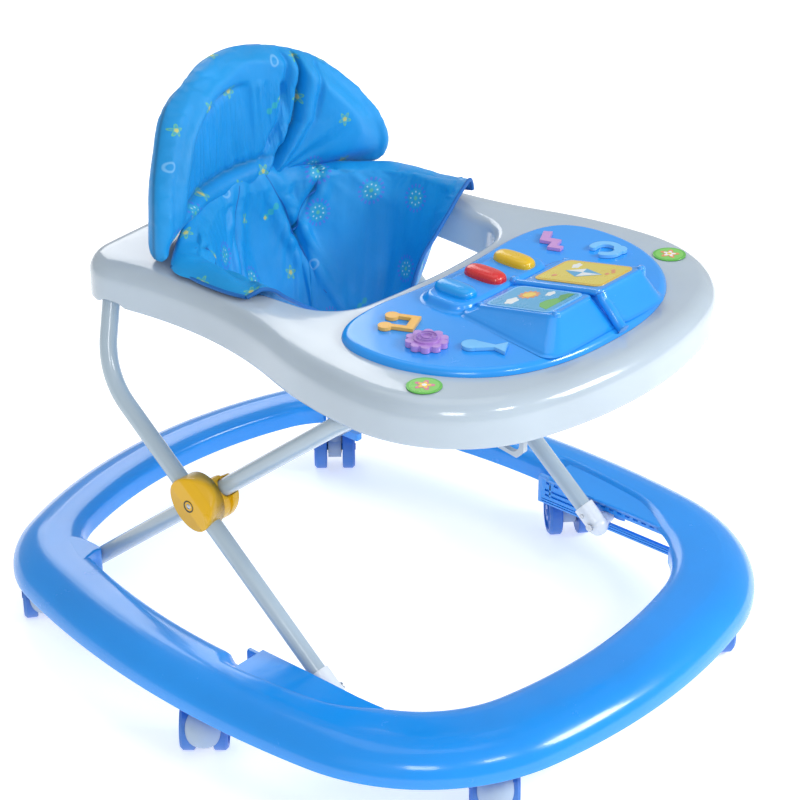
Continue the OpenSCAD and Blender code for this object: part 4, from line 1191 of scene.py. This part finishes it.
vs, fs = [], []
nd = len(dome)
cen = np.array([0.0, 440.0])
rws = []
for t in (0.12, 0.3, 0.5, 0.7, 0.88, 1.0):
    rws.append((cen + (dome - dn * 12 - cen) * t, 2.0))
for k in range(1, 9):
    g = -math.pi / 2 + math.pi * k / 9
    rws.append((dome - dn * (2 + 10 * (1 - math.cos(g))), 12 + 10 * math.sin(g)))
for t in (1.0, 0.88, 0.7, 0.5, 0.3, 0.12):
    rws.append((cen + (dome - dn * 12 - cen) * t, 22.0))
for q, d in rws:
    vs += [wrap(x, z, d) for x, z in q]
fs = loops_faces(len(rws), nd)
vs.append(wrap(cen[0], cen[1], 2.0))
vs.append(wrap(cen[0], cen[1], 22.0))
fs += [((i + 1) % nd, i, len(vs) - 2) for i in range(nd)]
top = (len(rws) - 1) * nd
fs += [(top + i, top + (i + 1) % nd, len(vs) - 1) for i in range(nd)]
pad = obj_from("backrest_cushion", vs, fs, M_cloth, "tray")
bm = bmesh.new()
bm.from_mesh(pad.data)
bmesh.ops.recalc_face_normals(bm, faces=bm.faces)
bm.to_mesh(pad.data)
bm.free()
remeshed(pad, 5.0)
simulate(pad, pressure=4.0, frames=20, cap=6.0)
subdivide(pad, 2)


def gather_x(z):
    return np.interp(z, [400, 408, 425, 452, 480, 510, 530], [22, 26, 37, 55, 61, 65, 60])


p = coords(pad.data)
R = np.sqrt(p[:, 0] ** 2 + (p[:, 1] + 56) ** 2)
depth = 233.0 - R
x, z = p[:, 0], p[:, 2]
e = seg_dist(np.column_stack([x, z]), np.vstack([dome, dome[:1]]))
front = sstep(depth, 8, 15)
gx = gather_x(z)
side = x - gx
rimw = 1 - sstep(x + 0.45 * (z - 470), -30, 30)  # padded rim on the near side and over the top
low = sstep(z, 404, 428)
d = np.zeros(len(p))
roll = np.sqrt(np.clip(1 - ((e - 17) / 19) ** 2, 0, 1))
d += rimw * front * 6.5 * roll
d -= rimw * front * 4.5 * np.exp(-((e - 37) / 4.5) ** 2)
panel = front * sstep(e, 33, 42) * (side < 0)
d -= rimw * 2.5 * front * sstep(e, 34, 44)
st = np.column_stack([x, z])
pl1 = vnoise(st + np.column_stack([0.10 * (z - 440) * (x > -40), 0 * z]), 6.0, 120.0, 3.1)
pl2 = vnoise(st, 15.0, 150.0, 7.7)
near_gather = np.exp(-(side / 40.0) ** 2)
d += panel * (pl1 * (2.0 + 2.0 * near_gather) + pl2 * 3.6)
# the gathered fold: two sharp creases with a ridge between and a long soft roll to the right
w_ = front * sstep(e, 4, 16)
d -= w_ * 7.0 * np.exp(-(side / 2.4) ** 2) * (0.45 + 0.55 * low)
d += w_ * 4.2 * np.exp(-((side - 8) / 6.0) ** 2)
d -= w_ * 3.6 * np.exp(-((side - 17 - 0.05 * (z - 440)) / 3.2) ** 2) * sstep(z, 430, 470)
d += w_ * 2.8 * np.exp(-((side + 7) / 4.5) ** 2)
d -= w_ * 4.0 * np.exp(-((side + 15 + 0.06 * (490 - z)) / 2.8) ** 2) * sstep(z, 405, 440)
# the full panel on the far side
t_ = np.clip((x - gx) / np.maximum(138 - gx, 20), 0, 1)
d += front * (side > 0) * 6.5 * np.sin(math.pi * np.clip(t_, 0, 1)) ** 0.8 * sstep(e, 0, 30)
# pulls fanning out from the foot of the gather
ang = np.arctan2(z - 402, x - 26)
rad = np.hypot(z - 402, x - 26)
fan = np.array([noise.noise(Vector((a * 5.0, r_ / 160.0, 4.4))) for a, r_ in zip(ang, rad)])
d += front * (side > 0) * fan * 3.4 * np.exp(-rad / 75.0) * sstep(rad, 4, 20)
d += front * vnoise(st, 34.0, 44.0, 1.3) * 2.2
d -= front * 3.5 * np.exp(-((z - 402) / 9.0) ** 2) * 0.6
# tucked corner low on the near side
tuck = np.exp(-(((x + 120) / 26) ** 2 + ((z - 394) / 13) ** 2))
d -= tuck * 5.0 * front
d += (1 - front) * vnoise(st, 26.0, 40.0, 9.2) * 1.1
nrmr = np.column_stack([-x / R, -(p[:, 1] + 56) / R, 0 * z])
d = np.clip(d, -9, 11)
p = p + nrmr * d[:, None]
# seam line round the rear edge, drawn only as painted shade (its groove push is zero)
rear = (1 - front) * np.exp(-((depth - 4) / 1.6) ** 2) * (e < 9)
p = p - nrmr * (-(rear * 0.0))[:, None]
put_coords(pad.data, p)
phi = np.arctan2(x, p[:, 1] + 56)
hy = np.maximum(np.hypot(x, z - 400), 1.0)
back_off = np.maximum(0, 21.0 - depth) * 1.4
set_attr(pad.data, "fab", np.column_stack([phi * 221 + 31.0 + back_off * x / hy, z + 13.0 + back_off * (z - 400) / hy, 0 * z]), "VEC")
# painted shade for the seam groove round the rim, the crease of the gather and the rear edge
backrest_seam_shade = rimw * front * np.exp(-((e - 37) / 1.9) ** 2) * 0.75 + w_ * np.exp(-(side / 1.5) ** 2) * 0.8 * (0.3 + 0.7 * low) + rear * 0.8
set_attr(pad.data, "seam", np.clip(backrest_seam_shade, 0, 1))
set_attr(pad.data, "gather", np.clip(panel * (0.5 + 0.5 * near_gather) + 0.08, 0, 1))
if len(pad.data.materials) == 0:
    pad.data.materials.append(M_cloth)
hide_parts("backrest_pad")

# ---------------------------------------------------------------- sling
MER = [
    [(143, 3, 396), (139.5, 1.5, 404), (134, 0, 408), (120, 0, 398), (108, 0, 387), (88, 0, 369), (67, 0, 350), (49, 0, 313), (33, -4, 280), (14, -8, 259), (0, -9, 255)],
    [(150, 36, 388), (146, 36, 397), (137, 35, 402), (125, 34, 394), (116, 33, 378), (106, 33, 352), (96, 32, 324), (82, 30, 294), (58, 28, 266), (28, 26, 249), (0, 25, 246)],
    [(149, 70, 389), (145, 70, 397), (136, 68, 401), (124, 66, 395), (114, 63, 380), (106, 60, 352), (97, 57, 322), (80, 52, 290), (54, 46, 262), (26, 41, 248), (0, 39, 244.5)],
    [(142, 104, 391), (138, 103, 396), (130, 98, 400), (117, 90, 396), (105, 83, 381), (98, 78, 352), (90, 73, 320), (74, 66, 288), (52, 57, 262), (25, 48, 248), (0, 43, 244)],
    [(92, 139, 398), (86, 137, 404), (79, 131, 404), (72, 124, 397), (66, 119, 381), (62, 115, 350), (56, 107, 316), (47, 95, 285), (33, 77, 260), (16, 58, 247), (0, 46, 244)],
    [(48, 152, 407), (44, 149, 412), (40, 145, 410), (37, 140, 402), (35, 136, 384), (33, 131, 352), (30, 123, 316), (25, 110, 284), (18, 90, 259), (8, 65, 247), (0, 48, 244)],
    [(0, 158, 410), (0, 153, 417), (0, 149, 414), (0, 145, 404), (0, 141, 385), (0, 136, 352), (0, 128, 316), (0, 114, 284), (0, 92, 259), (0, 66, 247), (0, 48, 244)],
]
near = [[(-a, b_, c) for a, b_, c in m_] for m_ in MER[:-1]][::-1]
near[0] = [(-50, 150, 411), (-45, 148, 417), (-41, 144, 413), (-38, 140, 402)] + near[0][4:]
near[1] = [(-88, 136, 408), (-82, 136, 414), (-77, 131, 409), (-72, 124, 398)] + near[1][4:]
near[2] = [(-146, 100, 389), (-140, 99, 395), (-130, 95, 397), (-117, 88, 392), (-105, 82, 379)] + near[2][5:]
near[3] = [(-150, 64, 387.5), (-145, 64, 393), (-136, 63, 395.5), (-124, 62, 391), (-114, 60, 378)] + near[3][5:]
near[4] = [(-150, 32, 387.5), (-145, 32, 392), (-137, 32, 394.5), (-125, 32, 390), (-116, 32, 376)] + near[4][5:]
near[5] = [(-146, 10, 387.5), (-141, 6, 391), (-134, 3, 393), (-122, 1, 388), (-110, 0, 378), (-88, 0, 362), (-67, 0, 346)] + near[5][7:]
mer = MER + near
NVP = 9
cols = np.array([catmull(m_, NVP, False) for m_ in mer])
nu_step = 14
grid = []
for j in range(cols.shape[1]):
    grid.append(catmull(cols[:, j], nu_step, False))
grid = np.array(grid).transpose(1, 0, 2)  # columns, then along each from the hem to the bottom
nc, nv = grid.shape[:2]
vs = [tuple(q) for c in grid for q in c]
fs = [(i * nv + j, (i + 1) * nv + j, (i + 1) * nv + j + 1, i * nv + j + 1) for i in range(nc - 1) for j in range(nv - 1)]
sl = obj_from("seat_sling_cloth", vs, fs, M_cloth_seat, "tray")
arc_u = np.concatenate([[0], np.cumsum(np.linalg.norm(np.diff(grid[:, 3 * NVP], axis=0), axis=1))])
arc_v = np.concatenate([np.zeros((nc, 1)), np.cumsum(np.linalg.norm(np.diff(grid, axis=1), axis=2), axis=1)], axis=1)
uv = np.zeros((nc, nv, 3))
uv[:, :, 0] = arc_u[:, None]
uv[:, :, 1] = arc_v
set_attr(sl.data, "fab", uv.reshape(-1, 3) + np.array([17.0, 5.0, 0.0]), "VEC")
bm = bmesh.new()
bm.from_mesh(sl.data)
bmesh.ops.remove_doubles(bm, verts=bm.verts, dist=2e-6)
bmesh.ops.recalc_face_normals(bm, faces=bm.faces)
bm.to_mesh(sl.data)
bm.free()
p = coords(sl.data)
fabv = np.empty(len(sl.data.vertices) * 3, np.float32)
sl.data.attributes["fab"].data.foreach_get("vector", fabv)
fabv = fabv.reshape(-1, 3)
SEAM_A = [(17, 140, 412), (26, 136, 390), (36, 131, 360), (48, 122, 318), (62, 100, 284), (66, 72, 270)]
SEAM_B = [(76, 130, 402), (64, 126, 388), (48, 128, 368), (38, 130, 352)]
SEAM_C = [(-119, 100, 394), (-100, 99, 391), (-104, 78, 389), (-115, 50, 389), (-126, 24, 390), (-134, 5, 392)]
SEAM_D = [(-17, 140, 412), (-26, 136, 390), (-36, 131, 360), (-48, 122, 318), (-62, 100, 284), (-66, 72, 270)]
fv = fabv[:, 1] - 5
fr = p[:, 1] + 0 * fv
pin = np.where(fv < 30, 1.0, 0.0)
edge_f = (np.abs(p[:, 0]) > 30) & (p[:, 1] < 3.5)
pin = np.where(edge_f, 1.0, pin)
pin = np.maximum(pin, np.where(seg_dist(p, SEAM_A) < 5, 0.85, 0.0))
pin = np.maximum(pin, np.where(seg_dist(p, SEAM_D) < 5, 0.85, 0.0))
simulate(sl, pressure=0.0, frames=18, cap=8.0, pin=pin, gravity=0.6, shrink=-0.035, bend=0.35, stiff=12.0)
subdivide(sl, 1)
p = coords(sl.data)
nn = np.empty(len(sl.data.vertices) * 3)
sl.data.vertices.foreach_get("normal", nn)
nn = nn.reshape(-1, 3)
inward = np.sign(((np.array([0.0, 40.0, 330.0]) - p) * nn).sum(1))
nn = nn * inward[:, None]
fabv = np.empty(len(sl.data.vertices) * 3, np.float32)
sl.data.attributes["fab"].data.foreach_get("vector", fabv)
fabv = fabv.reshape(-1, 3)
dd = np.zeros(len(p))
# painted shade in the seam grooves and hems, kept in the seam mask
sling_seam_shade = np.zeros(len(p))
for line, wid, dep, puff in ((SEAM_A, 2.8, 4.4, 2.6), (SEAM_B, 3.2, 4.4, 2.2), (SEAM_C, 2.4, 3.0, 1.6), (SEAM_D, 2.8, 4.4, 2.6)):
    q = seg_dist(p, line)
    dd -= dep * np.exp(-(q / wid) ** 2)
    dd += puff * np.exp(-((q - 9.0) / 6.0) ** 2)
    sling_seam_shade = np.maximum(sling_seam_shade, np.exp(-(q / 1.7) ** 2))
# hem along the hem line and along the leg openings: a shallow groove with painted shade in it
FR = [np.array(m_[1:9], float) + np.array([0, 11.0, 0]) for m_ in (MER[0], near[5])]
for line in FR:
    q = seg_dist(p, line)
    dd -= 0.9 * np.exp(-(q / 1.6) ** 2)
    sling_seam_shade = np.maximum(sling_seam_shade, 0.6 * np.exp(-(q / 0.9) ** 2))
st = np.column_stack([fabv[:, 0], fabv[:, 1]])
dd += vnoise(st, 36.0, 70.0, 2.2) * 3.2 * sstep(fabv[:, 1], 18, 50)
dd += vnoise(st, 13.0, 60.0, 5.2) * 1.2 * sstep(fabv[:, 1], 10, 30)
p = p + nn * dd[:, None]
put_coords(sl.data, p)
set_attr(sl.data, "seam", np.clip(sling_seam_shade, 0, 1))
set_attr(sl.data, "gather", np.full(len(p), 0.1))
sol = sl.modifiers.new("thickness", "SOLIDIFY")
sol.thickness = 1.6 * MM
sol.offset = 0.0
if len(sl.data.materials) == 0:
    sl.data.materials.append(M_cloth_seat)
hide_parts("seat_sling")
sl_area = sum(f.area for f in sl.data.polygons)
print("SLING AREA", sl_area, "arcs", arc_u[-1], arc_v[0, -1], arc_v[6 * nu_step, -1])
# crotch panel up to the front of the opening
cp = []
CR = [(-14, 0, 258, 34), (-30, 0, 268, 33), (-46, 0, 288, 31), (-57, 0, 314, 29), (-63, 0, 340, 27), (-66, 0, 360, 26), (-68.5, 0, 374, 25)]
cr = catmull([(a, c, w2) for a, _, c, w2 in CR], 6, False)
nw = 16
for a, c, w2 in cr:
    for k in range(nw + 1):
        t = -1 + 2 * k / nw
        cp.append((w2 * t, a + 3.0 * (t * t) * 0.6 + 0.3 * math.sin(9 * t + a / 9), c + 1.4 * t * t))
f_ = [(i * (nw + 1) + j, i * (nw + 1) + j + 1, (i + 1) * (nw + 1) + j + 1, (i + 1) * (nw + 1) + j) for i in range(len(cr) - 1) for j in range(nw)]
cro = obj_from("crotch_panel", cp, f_, M_cloth_seat, "tray")
cfa = np.array([(q[0] + 300, q[2] * 1.2 + 40, 0) for q in cp])
set_attr(cro.data, "fab", cfa, "VEC")
# painted shade along both sewn edges of the panel
set_attr(cro.data, "seam", np.where(np.tile(np.abs(np.linspace(-1, 1, nw + 1)), len(cr)) > 0.9, 0.5, 0.0))
set_attr(cro.data, "gather", np.full(len(cp), 0.2))
subdivide(cro, 1)
sol = cro.modifiers.new("thickness", "SOLIDIFY")
sol.thickness = 1.6 * MM
sol.offset = 0.0
cr_area = sum(f.area for f in cro.data.polygons)
print("CROTCH AREA", cr_area)


def pipe(name, pts, r=1.9):
    o = sweep(name, catmull(pts, 8, False), r, M_pipe, "tray", 14)
    n_ = len(o.data.vertices)
    set_attr(o.data, "fab", np.column_stack([np.arange(n_) % 14 * 0.8, np.arange(n_) // 14 * 1.0, np.zeros(n_)]), "VEC")
    set_attr(o.data, "seam", np.zeros(n_))
    set_attr(o.data, "gather", np.zeros(n_))
    return o


pipes = [pipe("piping_leg_left", [tuple(np.array(q, float) + (0, -0.5, 0)) for q in MER[0][:9]]),
         pipe("piping_leg_right", [tuple(np.array(q, float) + (0, -0.5, 0)) for q in near[5][:9]])]
top_n = [tuple(m_[0]) for m_ in near[2:][::1]]
pipes.append(pipe("piping_rim_right", [tuple(m_[0]) for m_ in near[2:]], 1.7))
pipes.append(pipe("piping_rim_left", [tuple(m_[0]) for m_ in MER[:4]], 1.7))
# the cloth clears the edge of the opening where it turns over it
for v in sl.data.vertices:
    for s_ in (1, -1):
        d_ = (v.co - Vector(V(s_ * 112.8, 75.4, 377.4))).length / MM
        if d_ < 15.0:
            v.co += Vector((-0.8 * s_, -0.5, 0.3)) * (0.6 * MM * (1 + math.cos(math.pi * d_ / 15.0)))
# sewn seam cords, laid on the cloth
bm = bmesh.new()
bm.from_mesh(sl.data)
tree = BVHTree.FromBMesh(bm)
bm.free()
for nm, line, r_ in (("a", SEAM_A, 1.0), ("b", SEAM_B, 1.0), ("c", SEAM_C, 0.9), ("d", SEAM_D, 1.0)):
    q = catmull(line, 9, False)
    out = []
    for c in q:
        hit = tree.find_nearest(Vector(V(*c)))
        pt = np.array(hit[0]) / MM
        out.append(pt - np.array([0, MY, 0]))
    out = np.array(out)
    for _ in range(3):
        out[1:-1] = (out[:-2] + 2 * out[1:-1] + out[2:]) / 4
    pipes.append(pipe("seam_cord_" + nm, out[::2], r_))

# ---------------------------------------------------------------- materials of the CAD pieces that stay
def paint(node, m):
    o = NODES[node]
    o.data.materials.clear() if False else None
    for i in range(max(1, len(o.material_slots))):
        if len(o.material_slots) == 0:
            o.data.materials.append(m)
        else:
            o.material_slots[i].material = m


CAD_LOOK = {
    "rear_pivot_pins": M_steel, "rack_slide_pins": M_steel, "pivot_bolts": M_steel,
    "rack_left": M_ring_cad, "rack_right": M_ring_cad, "rear_bracket_left": M_ring_cad, "rear_bracket_right": M_ring_cad,
    "base_ring": M_ring_cad, "tray_frame": M_white, "toy_panel": M_panel,
    "rack_plug_left": M_white, "rack_plug_right": M_white, "inner_leg_end_plugs": M_white, "tube_clamps": M_white,
    # painted shade: the slide rails take the tray's greyer tone rather than white, to dull their lit tips
    "slide_rail_left": M_tray, "slide_rail_right": M_tray, "battery_cover": M_white, "seat_hooks": M_white,
    "outer_leg_tube": M_tube, "inner_leg_tube": M_tube,
    "pivot_cover_outer_left": M_amber_cad, "pivot_cover_outer_right": M_amber_cad,
    "pivot_cover_inner_left": M_amber_cad, "pivot_cover_inner_right": M_amber_cad,
    "circuit_board": M_board, "speaker": M_black, "button_return_rings": M_sil,
    "button_blue": M_cyan, "button_red": M_red, "button_yellow": M_yel,
    "picture_plate_blue": M_sky, "picture_plate_yellow": M_yel,
    "shape_note": M_orange, "shape_flower": M_purple, "shape_fish": M_sky, "shape_zigzag": M_pink, "shape_curl": M_sky,
    "badge_discs": M_sky, "seat_sling": M_sky, "backrest_pad": M_sky,
}
for _n in NODES:
    if _n.startswith("caster_hood"):
        CAD_LOOK[_n] = M_hood
    elif _n.startswith("caster_stem"):
        CAD_LOOK[_n] = M_zinc
    elif _n.startswith("caster_wheels"):
        CAD_LOOK[_n] = M_wheel
for _n, _m in CAD_LOOK.items():
    if _n in NODES:
        paint(_n, _m)

# ---------------------------------------------------------------- stage, camera and light
floor = obj_from("floor", [(-4000, -4000, 0), (4000, -4000, 0), (4000, 4000, 0), (-4000, 4000, 0)], [(0, 1, 2, 3)], None, None, smooth=False)
mf = bpy.data.materials.new("floor_white")
nt, b = nodes_of(mf)
b.inputs["Base Color"].default_value = (0.94, 0.945, 0.95, 1)
b.inputs["Emission Color"].default_value = (1, 1, 1, 1)
b.inputs["Emission Strength"].default_value = 0.5
b.inputs["Roughness"].default_value = 0.9
b.inputs["Specular IOR Level"].default_value = 0.05
floor.data.materials.append(mf)

AZ, EL = math.radians(-48.9), math.radians(27.9)
back = Vector((math.sin(AZ) * math.cos(EL), -math.cos(AZ) * math.cos(EL), math.sin(EL)))
right = Vector((math.cos(AZ), math.sin(AZ), 0))
up = back.cross(right)
cam = bpy.data.cameras.new("camera")
cam.sensor_width = 36.0
cam.lens = 112.55
cam.clip_end = 50
co = bpy.data.objects.new("camera", cam)
bpy.context.scene.collection.objects.link(co)
m = Matrix((right, up, back)).transposed().to_4x4()
m.translation = Vector((-1.4947, -1.3382 + MY * MM, 1.2972))
co.matrix_world = m
bpy.context.scene.camera = co


def area(name, loc, target, size, power, size_y=None, color=(1, 1, 1)):
    l = bpy.data.lights.new(name, "AREA")
    l.shape = "RECTANGLE" if size_y else "SQUARE"
    l.size = size
    if size_y:
        l.size_y = size_y
    l.energy = power
    l.color = color
    o = bpy.data.objects.new(name, l)
    bpy.context.scene.collection.objects.link(o)
    o.location = loc
    d = Vector(target) - Vector(loc)
    o.rotation_euler = d.to_track_quat("-Z", "Y").to_euler()
    return o


area("key", (1.25, -2.3, 1.7), (0, -0.05, 0.2), 0.9, 42, 0.7)
area("window", (-0.35, -2.2, 2.1), (0, 0, 0.15), 0.5, 9, 0.36)
area("fill", (-2.3, -0.6, 1.5), (0, 0, 0.2), 1.5, 1.5)
area("top", (0.2, 0.3, 2.6), (0, 0, 0.2), 1.6, 6)
area("rim", (1.2, 1.9, 1.5), (0, 0, 0.3), 1.2, 12)
area("seat_fill", (-1.15, -1.0, 1.25), (0.12, 0.04, 0.34), 0.4, 4.6)
w = bpy.data.worlds.new("studio")
bpy.context.scene.world = w
w.use_nodes = True
w.node_tree.nodes["Background"].inputs[0].default_value = (0.97, 0.985, 1.0, 1)
w.node_tree.nodes["Background"].inputs[1].default_value = 0.5
bpy.context.scene.view_settings.view_transform = "Standard"
